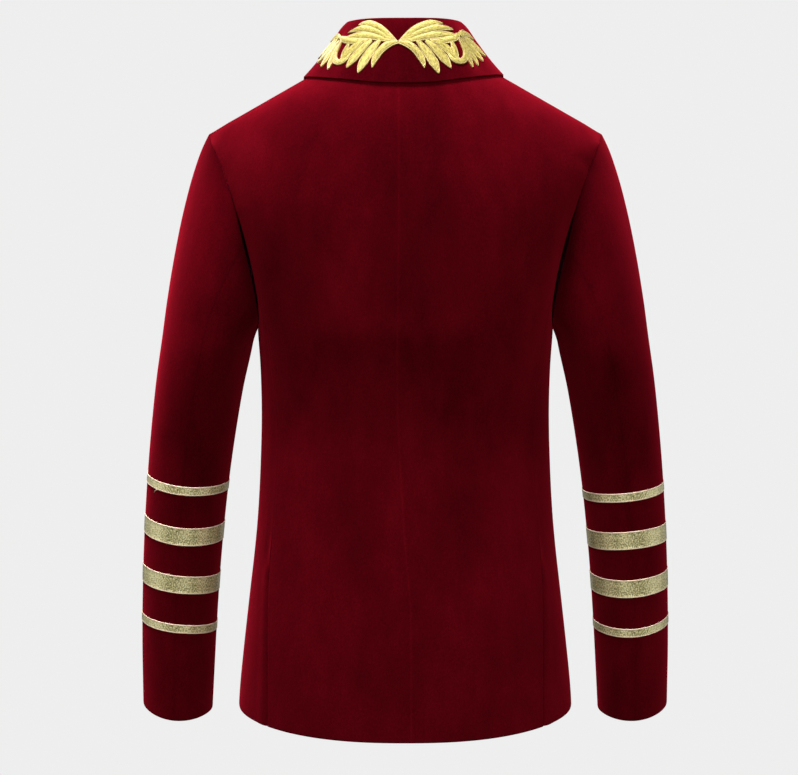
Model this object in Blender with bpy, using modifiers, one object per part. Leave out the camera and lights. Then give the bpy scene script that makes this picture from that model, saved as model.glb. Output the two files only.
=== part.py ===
"""Velvet tuxedo jacket, filled out as worn: every cloth piece is a 2 mm wall cut on shared seam lines."""
from functools import lru_cache
from math import asin, copysign, cos, degrees, pi, radians, sin

import bmesh
import bpy
from mathutils import Vector
from mathutils.geometry import delaunay_2d_cdt

# Cloth and seams
WALL = 0.002
SEAM_HALF_GAP = 0.00015
LAP_LIFT = 0.0014
LAP_SINK = -0.0012

# Body: neck opening, shoulder and underarm
NECK_HALF_WIDTH = 0.071
NECK_HALF_DEPTH = 0.054
NECK_CENTRE_Y = 0.004
NECK_POINT_Z = 0.008
SHOULDER_HALF = 0.215
SHOULDER_SLOPE = 0.563
SHOULDER_Y = -0.008
UNDERARM_Z = -0.284
NECK_DOME = 1.6
ROUND = 2.4
SHOULDER_ROUND = 3.5
# How the body's columns curve up to the neck and shoulder, at the centre and at the side, and its taper
ARCH_CENTRE = 2.5
ARCH_SIDE = 2.7
SHOULDER_TAPER = 1.15
BLADE_SWELL = 0.012
CHEST_SWELL = 0.008

# Body sections: height, half width, depth behind, depth in front
BODY_SECTIONS = (
    (-0.740, 0.1890, 0.1215, 0.1235),
    (-0.690, 0.1862, 0.1180, 0.1215),
    (-0.605, 0.1769, 0.1103, 0.1185),
    (-0.500, 0.1650, 0.0960, 0.1120),
    (-0.400, 0.1597, 0.0885, 0.1085),
    (-0.333, 0.1600, 0.0945, 0.1150),
    (-0.284, 0.1630, 0.1040, 0.1220),
)

# Hem heights and the rows that all body panels share below the underarm
HEM_BACK_Z = -0.723
HEM_SIDE_Z = -0.711
HEM_FRONT_Z = -0.729
BREAK_Z = -0.380
LAP_CORNER_Z = -0.398
VENT_SHUT_Z = -0.540
VENT_STEP_Z = -0.556
VENT_TOP_Z = -0.568
LOWER_ROWS = (-0.704, -0.690, -0.650, -0.608, VENT_TOP_Z, VENT_STEP_Z, VENT_SHUT_Z, -0.500, -0.460, -0.428,
              LAP_CORNER_Z, BREAK_Z, -0.350, -0.317, UNDERARM_Z)

# The centre-back seam's drift to the left, by height, as the jacket hangs slightly turned
CENTRE_DRIFT = ((-0.740, -0.0060), (-0.680, -0.0060), (-0.568, -0.0050), (-0.524, -0.0005), (-0.437, 0.0050),
                (-0.351, 0.0088), (-0.244, 0.0080), (-0.140, 0.0072), (0.050, 0.0080))

# Side seams and vents
SIDE_BACK_X = ((-0.740, 0.1515), (-0.690, 0.1508), (-0.566, 0.150), (-0.480, 0.143), (-0.400, 0.1385),
               (-0.330, 0.143), (-0.284, 0.150))
SIDE_FRONT_TURN = radians(117)
VENT_DEPTH = 0.00235
VENT_LAP = 0.035
# The side panel's two columns beside the seam, and how far in from the seam the underlay's fold lies
VENT_COLUMNS = (0.0015, 0.0032)
VENT_BEND_IN = 0.0008
VENT_FOLD_IN = 0.0002

# Armhole: height, depth position behind, depth position in front
ARMHOLE = (
    (-0.084, 0.013, -0.028),
    (-0.095, 0.025, -0.039),
    (-0.110, 0.036, -0.049),
    (-0.132, 0.045, -0.057),
    (-0.160, 0.050, -0.062),
    (-0.192, 0.050, -0.063),
    (-0.225, 0.048, -0.060),
    (-0.255, 0.043, -0.052),
    (-0.272, 0.035, -0.042),
    (-0.282, 0.021, -0.025),
)
SIDE_JOIN = 6
# Rows between the highest armhole row and the shoulder seam
SHOULDER_ROWS = (0.35, 0.70)
ARMHOLE_BOTTOM_Z = -0.2855

# Front edge: roll line, lap and the cutaway below
ROLL_BREAK_X = 0.009
LAP_WIDTH = 0.020
# The lap eases in between these places across and these heights
LAP_EASE_X = (0.070, 0.025)
LAP_EASE_Z = (-0.345, -0.375)
CUTAWAY_TOP_Z = -0.560
CUTAWAY_X = 0.062

# Collar: outer edge and fold as ovals round the neck, a little wider on the left, and the fold's heights
COLLAR_HALF_WIDTHS = {1: 0.1085, -1: 0.1045}
COLLAR_HALF_DEPTH = 0.0775
FOLD_HALF_WIDTHS = {1: 0.0605, -1: 0.0575}
FOLD_HALF_DEPTH = 0.0575
FOLD_BACK_Z = 0.0488
FOLD_SIDE_Z = 0.0450
FOLD_RADIUS = 0.0015
FALL_CLEARANCE = 0.0010
FALL_STEPS = (0.3, 0.62, 1.0)
FALL_CURVE = 1.3
FOLD_DIP = 4
# Over this many lapel rows the narrower right collar widens to the left one's form
NARROWED_ROWS = 5
# Lapel rows, from the neck point to the break: from the seam up to the fold (across, in depth and in
# height), then the outer edge's place across and its height
LAPEL_ROWS = (
    (-0.0105, -0.0010, 0.0365, 0.1100, -0.0158),
    (-0.0115, -0.0030, 0.0315, 0.1120, -0.0210),
    (-0.0120, -0.0060, 0.0240, 0.1138, -0.0305),
    (-0.0115, -0.0080, 0.0175, 0.1150, -0.0470),
    (-0.0105, -0.0085, 0.0125, 0.1150, -0.0710),
    (-0.0095, -0.0080, 0.0090, 0.1130, -0.1020),
    (-0.0085, -0.0070, 0.0062, 0.1080, -0.1400),
    (-0.0078, -0.0062, 0.0042, 0.1000, -0.1840),
    (-0.0072, -0.0055, 0.0028, 0.0905, -0.2280),
    (-0.0066, -0.0050, 0.0018, 0.0790, -0.2660),
    (-0.0062, -0.0046, 0.0012, 0.0690, -0.2960),
    (-0.0058, -0.0042, 0.0008, 0.0560, -0.3290),
    (-0.0054, -0.0038, 0.0006, 0.0400, -0.3600),
    (-0.0048, -0.0034, 0.0004, 0.0215, -0.3840),
)

# Sleeve: height, outer edge, inner edge, depth, middle of the depth
SLEEVE_SECTIONS = (
    (-0.300, 0.2685, 0.1690, 0.127, 0.000),
    (-0.356, 0.2772, 0.1816, 0.122, -0.003),
    (-0.447, 0.2875, 0.1966, 0.112, -0.009),
    (-0.541, 0.2947, 0.2075, 0.104, -0.015),
    (-0.637, 0.2987, 0.2152, 0.098, -0.021),
    (-0.728, 0.2995, 0.2207, 0.094, -0.026),
)
SLEEVE_TILT = 0.10
CAP_STEPS = (0.0, 0.10, 0.24, 0.42, 0.62, 0.82)
CAP_START_PULL = 0.65
CAP_END_PULL = 0.9
# The cap's direction where it leaves the armhole, with its changes round the sleeve, and where it ends
CAP_LEAVE = Vector((0.42, 0, -0.85))
CAP_LEAVE_TOP = 0.08
CAP_LEAVE_SIDES = 0.15
CAP_LEAVE_DEPTH = 0.25
CAP_ARRIVE = Vector((0.13, 0, -1)).normalized()
# Turn round the sleeve, in degrees, at the shoulder point and at each armhole row down to the underarm
SLEEVE_TURNS = (0, 13, 25, 38, 54, 72, 90, 108, 126, 142, 160, 180)
ELBOW_SEAM = 6
FOREARM_SEAM = 14
PLAIN_SLEEVE_ROWS = (-0.300, -0.345, -0.390, -0.428)
CUFF_ROWS = (-0.665, -0.700, -0.728)
# How much higher the cuff's edge lies at its sides
CUFF_RISE = 0.006
# Braid bands: width, then for the left and the right sleeve the height, and how much higher the band lies on the
# outer and on the inner side of the sleeve
BANDS = (
    (0.010, (-0.4606, 0.0030, 0.0022), (-0.4677, 0.0008, -0.0010)),
    (0.0205, (-0.5129, 0.0038, 0.0020), (-0.5170, -0.0018, -0.0012)),
    (0.0205, (-0.5680, 0.0020, -0.0018), (-0.5730, 0.0008, 0.0032)),
    (0.010, (-0.6193, 0.0013, -0.0027), (-0.6245, 0.0038, 0.0048)),
)
BAND_THICKNESS = 0.0010
BAND_CLEARANCE = 0.0003

# Button
BUTTON_Z = -0.414
BUTTON_RADIUS = 0.011
BUTTON_HEIGHT = 0.0065
BUTTON_SEGMENTS = 20
BUTTON_CLEARANCE = 0.0006

# Collar embroidery: sprays of leaves that grow outwards from the middle of the collar, in millimetres and degrees.
# Columns: number of leaves; start across and up; step across and up to the next leaf; heading and its step;
# turn along the leaf and its step; how late the turn comes; length and its step; width
SPRAYS = (
    (3, 2.4, 44, 0.4, -0.5, 42, -13, -50, 10, 1, 68, 12, 8.5),
    (1, 0.2, 43, 0, 0, 0, 0, -95, 0, 1, 43, 0, 9),
    (3, 22, 45, 11, -0.5, -45, 7, -40, 0, 1, 42, -3, 11),
    (1, 38, 44, 0, 0, -8, 0, 36, 0, 1, 58, 0, 8),
    (1, 66, 42, 0, 0, -86, 0, -28, 0, 1, 22, 0, 8),
    (1, 83, 46, 0, 0, -92, 0, -255, 0, 2, 60, 0, 7),
    (4, 83, 46, 5, 1.5, -88, 14, -14, 0, 1, 36, -1, 9.5),
    (1, 92, 50, 0, 0, 40, 0, -95, 0, 1, 27, 0, 10),
)
ORNAMENT_LIFT = 0.00135
ORNAMENT_EDGE = 0.0009
ORNAMENT_CROWN = 0.0017
ORNAMENT_POINTS = 6
# A leaf's width: its share at the base, how far up its belly lies, and its rounding at the tip
LEAF_BASE = 0.45
LEAF_BELLY = 0.9
LEAF_TIP_LENGTH = 0.33
LEAF_TIP_ROUND = 0.6
LEAF_SPACING = 1.4
LEAF_SUM_STEPS = 40
# The largest turn, in degrees, between two points of a leaf's edge
LEAF_TURN_STEP = 24

VELVET = (0.17, 0.003, 0.010, 1.0)
GOLD_THREAD = (0.78, 0.62, 0.20, 1.0)
GOLD_BRAID = (0.50, 0.43, 0.20, 1.0)


# Small helpers

def mix(a, b, t):
    return a + (b - a) * t


def ease(t):
    t = min(1.0, max(0.0, t))
    return t * t * (3 - 2 * t)


def read_table(rows, height, column):
    """A smooth curve through one column of a table whose first column is the height, in either order."""
    rows = sorted(rows)
    last = len(rows) - 1
    i = next((n for n in range(last) if height < rows[n + 1][0]), last - 1)
    below, above = rows[i], rows[i + 1]
    step = above[0] - below[0]
    t = (height - below[0]) / step

    def slope(n):
        lower, upper = rows[max(n - 1, 0)], rows[min(n + 1, last)]
        return (upper[column] - lower[column]) / (upper[0] - lower[0]) * step

    bend = (2 * t**3 - 3 * t**2 + 1) * below[column] + (3 * t**2 - 2 * t**3) * above[column]
    return bend + (t**3 - 2 * t**2 + t) * slope(i) + (t**3 - t**2) * slope(i + 1)


def bisect(test, low, high):
    """The place between low and high where test turns from true to false."""
    for _ in range(48):
        middle = (low + high) / 2
        if test(middle):
            low = middle
        else:
            high = middle
    return (low + high) / 2


def across(vector, along):
    """The unit part of a vector that is square to another."""
    return (vector - along * (vector.dot(along) / along.dot(along))).normalized()


# Body surface. The turn runs from 0 at the centre back over a right angle at the side to pi in front.

def breadth(turn):
    return abs(sin(turn)) ** (2 / ROUND)


def signed_breadth(turn):
    return copysign(breadth(turn), sin(turn))


def turn_at(fraction, back):
    angle = copysign(asin(min(1.0, abs(fraction)) ** (ROUND / 2)), fraction)
    return angle if back else pi - angle


def ridge(fraction):
    """The shoulder line, which also runs on, unseen, over the neck opening."""
    x = SHOULDER_HALF * fraction
    outward = max(0.0, (x - NECK_HALF_WIDTH) / (SHOULDER_HALF - NECK_HALF_WIDTH))
    z = NECK_POINT_Z - SHOULDER_SLOPE * (x - NECK_HALF_WIDTH)
    if x < NECK_HALF_WIDTH:
        inward = 1 - (x / NECK_HALF_WIDTH) ** NECK_DOME
        z = NECK_POINT_Z + SHOULDER_SLOPE * NECK_HALF_WIDTH / NECK_DOME * inward
    return Vector((x, mix(NECK_CENTRE_Y, SHOULDER_Y, outward), z))


def arch(fraction):
    return mix(ARCH_CENTRE, ARCH_SIDE, fraction)


def body(turn, z):
    """A point of the body's outer surface."""
    fraction = breadth(turn)
    rear = cos(turn) > 0
    level = min(z, UNDERARM_Z)
    half_width, behind, before = (read_table(BODY_SECTIONS, level, n) for n in (1, 2, 3))
    depth = behind if rear else -before
    if z <= UNDERARM_Z:
        return Vector((copysign(half_width * fraction, sin(turn)), depth * abs(cos(turn)) ** (2 / ROUND), z))
    top = ridge(fraction)
    rise = min(1.0, (z - UNDERARM_Z) / (top.z - UNDERARM_Z))
    bow = arch(fraction)
    lean = (1 - rise**bow) ** (1 / bow)
    square = mix(ROUND, SHOULDER_ROUND, rise)
    reach = (1 - fraction**square) ** (1 / square)
    swing = rise ** (bow / 2)
    swell = (BLADE_SWELL if rear else -CHEST_SWELL) * (1 - fraction**2)
    x = mix(half_width * fraction, top.x, rise**SHOULDER_TAPER)
    y = top.y + (depth * reach - top.y) * lean + swell * 2 * swing * (1 - swing**2) ** 0.5
    return Vector((copysign(x, sin(turn)), y, z))


def ring_height(turn, half_width, half_depth):
    """The height where the body surface meets an upright oval round the neck."""
    def outside(z):
        p = body(turn, z)
        return (p.x / half_width) ** 2 + ((p.y - NECK_CENTRE_Y) / half_depth) ** 2 > 1
    return bisect(outside, UNDERARM_Z, ridge(breadth(turn)).z)


@lru_cache(maxsize=None)
def top_angle(turn):
    """The angle up a column of the body at which it ends, at the neck or on the shoulder line."""
    fraction = breadth(turn)
    top = ridge(fraction)
    if top.x > NECK_HALF_WIDTH - 1e-6:
        return pi / 2
    rise = (ring_height(turn, NECK_HALF_WIDTH, NECK_HALF_DEPTH) - UNDERARM_Z) / (top.z - UNDERARM_Z)
    return asin(rise ** (arch(fraction) / 2))


def climb(turn, share):
    """A point of the upper body: the share runs from 0 at underarm height to 1 at the neck or shoulder."""
    fraction = breadth(turn)
    rise = sin(share * top_angle(turn)) ** (2 / arch(fraction))
    return body(turn, mix(UNDERARM_Z, ridge(fraction).z, rise))


def share_at(turn, z):
    fraction = breadth(turn)
    rise = (z - UNDERARM_Z) / (ridge(fraction).z - UNDERARM_Z)
    return asin(min(1.0, rise) ** (arch(fraction) / 2)) / top_angle(turn)


def square_to(surface, turn, place, step):
    """The outward direction of a surface that is read as surface(turn, place)."""
    small = 0.002
    around = surface(turn + small, place) - surface(turn - small, place)
    upward = surface(turn, place) - surface(turn, place - step)
    return upward.cross(around).normalized()


def body_normal(turn, z):
    return square_to(body, turn, z, 0.002)


def climb_normal(turn, share):
    if share > 0.999 and ridge(breadth(turn)).x > NECK_HALF_WIDTH - 1e-6:
        return Vector((SHOULDER_SLOPE, 0, 1)).normalized()
    return square_to(climb, turn, share, 0.01)


# Armhole: the shoulder point, down the back to the underarm and up the front

def armhole_loop():
    rows = []
    for column, back in ((1, True), (2, False)):
        side = []
        for row in ARMHOLE:
            z, y = row[0], row[column]
            ends = (0.3, pi / 2 - 1e-4) if back else (pi - 0.3, pi / 2 + 1e-4)
            turn = bisect(lambda t: abs(body(t, z).y) > abs(y), *ends)
            side.append((turn, z))
        rows.append(side)
    return [(pi / 2, ridge(1.0).z)] + rows[0] + [(pi / 2, ARMHOLE_BOTTOM_Z)] + rows[1][::-1]


ARMHOLE_TURNS = armhole_loop()
ARMHOLE_POINTS = [ridge(1.0)] + [body(turn, z) for turn, z in ARMHOLE_TURNS[1:]]
JOIN_BACK = SIDE_JOIN + 1
JOIN_FRONT = len(ARMHOLE_POINTS) - JOIN_BACK


# Sleeve surface

def sleeve_ring(height, outer_rise=0.0, inner_rise=0.0):
    """One ring of the sleeve, in line with its lean, with a point for each armhole point."""
    side = Vector((1, 0, SLEEVE_TILT))
    turns = list(SLEEVE_TURNS) + [360 - t for t in SLEEVE_TURNS[-2:0:-1]]
    points = []
    for degrees in turns:
        a = radians(degrees)
        z = height + (outer_rise if cos(a) > 0 else inner_rise) * cos(a) ** 2
        outer, inner, depth, middle_y = (read_table(SLEEVE_SECTIONS, z, n) for n in (1, 2, 3, 4))
        cuff_rise = CUFF_RISE * ease((CUFF_ROWS[0] - z) / (CUFF_ROWS[0] - CUFF_ROWS[-1]))
        middle = Vector(((outer + inner) / 2, middle_y, z))
        edge = Vector((0, depth / 2 * sin(a), cuff_rise * cos(a) ** 2))
        points.append(middle + side * ((outer - inner) / 2 * cos(a)) + edge)
    return points


def cap_point(start, end, turn, t):
    """A point of the sleeve cap, on a curve from the armhole to the first full ring."""
    reach = (end - start).length
    outward = CAP_LEAVE_TOP * cos(turn) + CAP_LEAVE_SIDES * sin(turn) ** 2
    leave = (CAP_LEAVE + Vector((outward, CAP_LEAVE_DEPTH * sin(turn), 0))).normalized()
    pull = (t**3 - 2 * t**2 + t) * reach * CAP_START_PULL
    push = (t**3 - t**2) * reach * CAP_END_PULL
    return start * (2 * t**3 - 3 * t**2 + 1) + end * (3 * t**2 - 2 * t**3) + leave * pull + CAP_ARRIVE * push


def ring_normals(rings, r):
    """Outward directions of one ring of a tube, from its neighbours."""
    count = len(rings[r])
    normals = []
    for c in range(count):
        around = rings[r][(c + 1) % count] - rings[r][c - 1]
        down = rings[min(r + 1, len(rings) - 1)][c] - rings[max(r - 1, 0)][c]
        normals.append(down.cross(around).normalized())
    return normals


def sleeve_surface(band_column):
    """Rings of the left sleeve from the armhole to the cuff, with a row at each edge of each band."""
    first = sleeve_ring(SLEEVE_SECTIONS[0][0])
    turns = [radians(t) for t in SLEEVE_TURNS] + [2 * pi - radians(t) for t in SLEEVE_TURNS[-2:0:-1]]
    rings = [[cap_point(s, e, a, t) for s, e, a in zip(ARMHOLE_POINTS, first, turns)] for t in CAP_STEPS]
    rings += [sleeve_ring(z) for z in PLAIN_SLEEVE_ROWS]
    band_rows = []
    for band in BANDS:
        band_rows.append(len(rings))
        z, outer_rise, inner_rise = band[band_column]
        rings += [sleeve_ring(z + band[0] / 2, outer_rise, inner_rise)]
        rings += [sleeve_ring(z - band[0] / 2, outer_rise, inner_rise)]
    rings += [sleeve_ring(z) for z in CUFF_ROWS]
    normals = [ring_normals(rings, r) for r in range(len(rings))]
    for c, (turn, z) in enumerate(ARMHOLE_TURNS):
        flat = climb_normal(turn, 1.0) if c == 0 else body_normal(turn, z)
        normals[0][c] = (flat + normals[0][c]).normalized()
    return rings, normals, band_rows


LEFT_SLEEVE = sleeve_surface(1)
RIGHT_SLEEVE = sleeve_surface(2)
ARMHOLE_NORMALS = LEFT_SLEEVE[1][0]


# Body rows: each knows the turn of the two side seams and how a point at a turn is found

def hem_height(turn):
    if cos(turn) > 0:
        return mix(HEM_BACK_Z, HEM_SIDE_Z, sin(turn) ** 2)
    return mix(HEM_FRONT_Z, HEM_SIDE_Z, sin(turn) ** 2)


def fraction_for(x, z):
    return x / read_table(BODY_SECTIONS, min(z, UNDERARM_Z), 1)


def seam_turn(z, back):
    """The turn of a side seam at a height up to the underarm."""
    if back:
        return turn_at(fraction_for(read_table(SIDE_BACK_X, z, 1), z), True)
    return SIDE_FRONT_TURN


class Row:
    """One row of the body panels, at a height or at a share of the way up to the neck and shoulder."""

    def __init__(self, height=None, share=None, hem=False, turn_back=0.0, turn_front=0.0):
        self.height, self.share, self.hem = height, share, hem
        self.turn_back, self.turn_front = turn_back, turn_front

    def z(self, turn):
        return hem_height(turn) if self.hem else self.height

    def point(self, turn):
        return body(turn, self.z(turn)) if self.share is None else climb(turn, self.share)

    def normal(self, turn):
        return body_normal(turn, self.z(turn)) if self.share is None else climb_normal(turn, self.share)


def lower_rows():
    rows = [Row(hem=True, turn_back=seam_turn(HEM_BACK_Z, True), turn_front=seam_turn(HEM_FRONT_Z, False))]
    rows += [Row(height=z, turn_back=seam_turn(z, True), turn_front=seam_turn(z, False)) for z in LOWER_ROWS]
    return rows


def upper_rows(back):
    """Rows above the underarm, each ending at an armhole point or, below the join, at the side seam."""
    join = JOIN_BACK if back else JOIN_FRONT
    seam, (join_turn, join_z) = seam_turn(UNDERARM_Z, back), ARMHOLE_TURNS[join]
    middle_z = (UNDERARM_Z + join_z) / 2
    ends = [(mix(seam, join_turn, 0.5), middle_z)]
    steps = range(join, 0, -1) if back else range(join, len(ARMHOLE_TURNS))
    ends += [ARMHOLE_TURNS[i] for i in steps]
    rows = [Row(share=share_at(turn, z), turn_back=turn, turn_front=turn) for turn, z in ends]
    last = rows[-1]
    for t in SHOULDER_ROWS:
        turn = mix(last.turn_back, pi / 2, t)
        rows.append(Row(share=mix(last.share, 1.0, t), turn_back=turn, turn_front=turn))
    return rows + [Row(share=1.0, turn_back=pi / 2, turn_front=pi / 2)]


LOWER = lower_rows()
UPPER_BACK = upper_rows(True)
UPPER_FRONT = upper_rows(False)


# Walls

def triangles(mesh_faces, a, b, c, d):
    mesh_faces.append((a, b, c))
    mesh_faces.append((a, c, d))


def rim_triangles(mesh_faces, points, a, b, c, d):
    """A rim's twisted four-sided face, split on its shorter diagonal as its neighbour's is."""
    if (points[a] - points[c]).length <= (points[b] - points[d]).length:
        triangles(mesh_faces, a, b, c, d)
    else:
        triangles(mesh_faces, b, c, d, a)


def make_wall(name, outer, inner, material, ring=False):
    """A closed wall between two like grids of points; a ring's rows close on themselves."""
    rows, cols = len(outer), len(outer[0])
    size = rows * cols
    points = [p for grid in (outer, inner) for row in grid for p in row]
    faces = []

    def at(side, r, c):
        return side * size + r * cols + c % cols

    for r in range(rows - 1):
        for c in range(cols if ring else cols - 1):
            triangles(faces, at(0, r, c), at(0, r, c + 1), at(0, r + 1, c + 1), at(0, r + 1, c))
            triangles(faces, at(1, r, c), at(1, r, c + 1), at(1, r + 1, c + 1), at(1, r + 1, c))
    for r in (0, rows - 1):
        for c in range(cols if ring else cols - 1):
            rim_triangles(faces, points, at(0, r, c), at(0, r, c + 1), at(1, r, c + 1), at(1, r, c))
    if not ring:
        for c in (0, cols - 1):
            for r in range(rows - 1):
                rim_triangles(faces, points, at(0, r, c), at(0, r + 1, c), at(1, r + 1, c), at(1, r, c))
    return make_object(name, points, faces, material)


def make_object(name, points, faces, material):
    mesh = bpy.data.meshes.new(name)
    mesh.from_pydata([tuple(p) for p in points], [], faces)
    shape = bmesh.new()
    shape.from_mesh(mesh)
    bmesh.ops.recalc_face_normals(shape, faces=shape.faces)
    shape.to_mesh(mesh)
    shape.free()
    mesh.shade_smooth()
    mesh.set_sharp_from_angle(angle=radians(40))
    mesh.materials.append(material)
    item = bpy.data.objects.new(name, mesh)
    JACKET.objects.link(item)
    return item


def draw_back(point, inside, along, normal):
    """The small move that keeps an edge point clear of its seam, more where two pieces meet in a sharp fold."""
    inward = across(inside - point, along)
    seam_face = normal.cross(along).normalized()
    return inward * (SEAM_HALF_GAP / max(0.3, abs(inward.dot(seam_face))))


def edge_shifts(grid, normals):
    """For each point of a grid, the small move that draws the grid's edges back from the seam lines."""
    rows, cols = len(grid), len(grid[0])
    shifts = [[Vector() for _ in row] for row in grid]
    for r in range(rows):
        for c, inside in ((0, 1), (cols - 1, cols - 2)):
            along = grid[min(r + 1, rows - 1)][c] - grid[max(r - 1, 0)][c]
            shifts[r][c] += draw_back(grid[r][c], grid[r][inside], along, normals[r][c])
    for c in range(cols):
        for r, inside in ((0, 1), (rows - 1, rows - 2)):
            along = grid[r][min(c + 1, cols - 1)] - grid[r][max(c - 1, 0)]
            shifts[r][c] += draw_back(grid[r][c], grid[inside][c], along, normals[r][c])
    return shifts


def mirrored(grid, side):
    return [[Vector((p.x * side, p.y, p.z)) for p in row] for row in grid]


def make_panel(name, grid, normals, side, material):
    """A cloth panel from the points of its outer face and their outward directions."""
    shifts = edge_shifts(grid, normals)
    outer = [[p + s for p, s in zip(*pair)] for pair in zip(grid, shifts)]
    inner = [[p - n * WALL for p, n in zip(*pair)] for pair in zip(outer, normals)]
    return make_wall(name, mirrored(outer, side), mirrored(inner, side), material)


# Back panels

NECK_COLUMNS = 5
SHOULDER_COLUMNS = 8
NECK_TOP = NECK_HALF_WIDTH / SHOULDER_HALF


def back_turns(row, weight, side):
    """The turns of one row of a back panel: even at the hem, and set by neck and shoulder at the top."""
    near_centre = 0.02
    scale = row.point(turn_at(near_centre, True)).x / near_centre
    centre = side * read_table(CENTRE_DRIFT, row.point(0.0).z, 1) / scale
    edge = breadth(row.turn_back)
    shaped = [mix(centre, edge * NECK_TOP, sin(pi / 2 * k / NECK_COLUMNS)) for k in range(NECK_COLUMNS + 1)]
    shaped += [edge * mix(NECK_TOP, 1.0, k / SHOULDER_COLUMNS) for k in range(1, SHOULDER_COLUMNS + 1)]
    last = len(shaped) - 1
    return [turn_at(mix(mix(centre, edge, k / last), place, weight), True) for k, place in enumerate(shaped)]


def join_armhole(grid, normals, order):
    """Sets the outer edge of a body panel on the armhole's own points, and on its last straight stretch."""
    steps = [i % len(ARMHOLE_POINTS) for i in order]
    points = [ARMHOLE_POINTS[i] for i in steps]
    facing = [ARMHOLE_NORMALS[i] for i in steps]
    points[-1:-1] = [mix(points[-2], points[-1], t) for t in SHOULDER_ROWS]
    facing[-1:-1] = [mix(facing[-2], facing[-1], t) for t in SHOULDER_ROWS]
    first = len(grid) - len(points)
    for r, (point, normal) in enumerate(zip(points, facing), start=first):
        grid[r][-1] = point
        normals[r][-1] = normal


def back_grid(side):
    rows = LOWER + UPPER_BACK
    grid, normals = [], []
    for r, row in enumerate(rows):
        turns = back_turns(row, r / (len(rows) - 1), side)
        grid.append([row.point(t) for t in turns])
        normals.append([row.normal(t) for t in turns])
    join_armhole(grid, normals, range(JOIN_BACK, -1, -1))
    return grid, normals


# Fronts

def lap_amount(x, z):
    """How far into the lap a point of the front lies, from 0 well away to 1 at the edge."""
    sideways = (LAP_EASE_X[0] - x) / (LAP_EASE_X[0] - LAP_EASE_X[1])
    downward = (LAP_EASE_Z[0] - z) / (LAP_EASE_Z[0] - LAP_EASE_Z[1])
    return ease(sideways) * ease(downward)


def front_edge_x(z):
    if z > BREAK_Z - 1e-6:
        return mix(ROLL_BREAK_X, NECK_HALF_WIDTH, (z - BREAK_Z) / (NECK_POINT_Z - BREAK_Z))
    swing = min(1.0, max(0.0, (CUTAWAY_TOP_Z - z) / (CUTAWAY_TOP_Z - HEM_FRONT_Z)))
    return mix(-LAP_WIDTH, CUTAWAY_X, 1 - (1 - swing**2) ** 0.5)


def front_edge_turn(row):
    """The turn at which a row of the front reaches its inner edge."""
    if row.share is not None and row.share > 0.999:
        return turn_at(NECK_TOP, False)
    return bisect(lambda t: row.point(t).x > front_edge_x(row.point(t).z), pi / 2, pi + 0.2)


def lapped(point, normal, lift):
    return point + normal * (lift * lap_amount(point.x, point.z))


def front_grid(lift):
    grid, normals = [], []
    for row in LOWER + UPPER_FRONT:
        inner, outer = front_edge_turn(row), row.turn_front
        low = signed_breadth(inner)
        turns = [turn_at(mix(low, breadth(outer), k / SHOULDER_COLUMNS), False)
                 for k in range(SHOULDER_COLUMNS + 1)]
        facing = [row.normal(t) for t in turns]
        grid.append([lapped(row.point(t), n, lift) for t, n in zip(turns, facing)])
        normals.append(facing)
    join_armhole(grid, normals, range(JOIN_FRONT, len(ARMHOLE_POINTS) + 1))
    return grid, normals


# Side panels, each with a flange that runs under the back panel below the vent's top

def side_grid():
    loop = ARMHOLE_TURNS[JOIN_BACK:JOIN_FRONT + 1]
    last = len(loop) - 1
    grid, normals = [], []
    places = []
    for row in LOWER[:-1]:
        turns = [mix(row.turn_back, row.turn_front, k / last) for k in range(last + 1)]
        places.append([(t, row.z(t)) for t in turns])
    base = places[-1]
    back_seam = [(LOWER[-1].turn_back, UNDERARM_Z)]
    front_seam = [(LOWER[-1].turn_front, UNDERARM_Z)]
    for seam, ends in ((back_seam, loop[0]), (front_seam, loop[-1])):
        seam.append((mix(seam[0][0], ends[0], 0.5), mix(UNDERARM_Z, ends[1], 0.5)))
    for step in (0, 1):
        share = (step + 1) / 3
        row = [tuple(mix(a, b, share) for a, b in zip(*pair)) for pair in zip(base, loop)]
        row[0], row[-1] = back_seam[step], front_seam[step]
        places.append(row)
    places.append(loop)
    for row in places:
        grid.append([body(t, z) for t, z in row])
        normals.append([body_normal(t, z) for t, z in row])
    grid[-1] = ARMHOLE_POINTS[JOIN_BACK:JOIN_FRONT + 1]
    normals[-1] = ARMHOLE_NORMALS[JOIN_BACK:JOIN_FRONT + 1]
    for r, row in enumerate(LOWER):
        grid[r][0] = row.point(row.turn_back)
    return add_vent(grid, normals)


def add_vent(grid, normals):
    """Two more columns beside the back seam, which drop behind the back panel below the vent's top."""
    for r, (row, facing) in enumerate(zip(grid, normals)):
        seam, beside = row[0], row[1]
        step = (beside - seam).normalized()
        place = [seam] + [seam + step * inset for inset in VENT_COLUMNS]
        directions = [facing[0]] * 3
        turn = LOWER[r].turn_back if r < len(LOWER) else 0.0
        z = LOWER[r].z(turn) if r < len(LOWER) else 0.0
        if z < VENT_SHUT_Z - 1e-6:
            sunk = seam - facing[0] * VENT_DEPTH
            place[0] = sunk
            place[1] = sunk + step * VENT_BEND_IN
            if z < VENT_STEP_Z - 1e-6:
                far = turn_at(breadth(turn) - VENT_LAP / read_table(BODY_SECTIONS, z, 1), True)
                direction = LOWER[r].normal(far)
                place[0] = LOWER[r].point(far) - direction * VENT_DEPTH
                place[1] = sunk + step * VENT_FOLD_IN
                directions[0] = direction
        row[:1] = place
        facing[:1] = directions
    return grid, normals


# Collar

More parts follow.
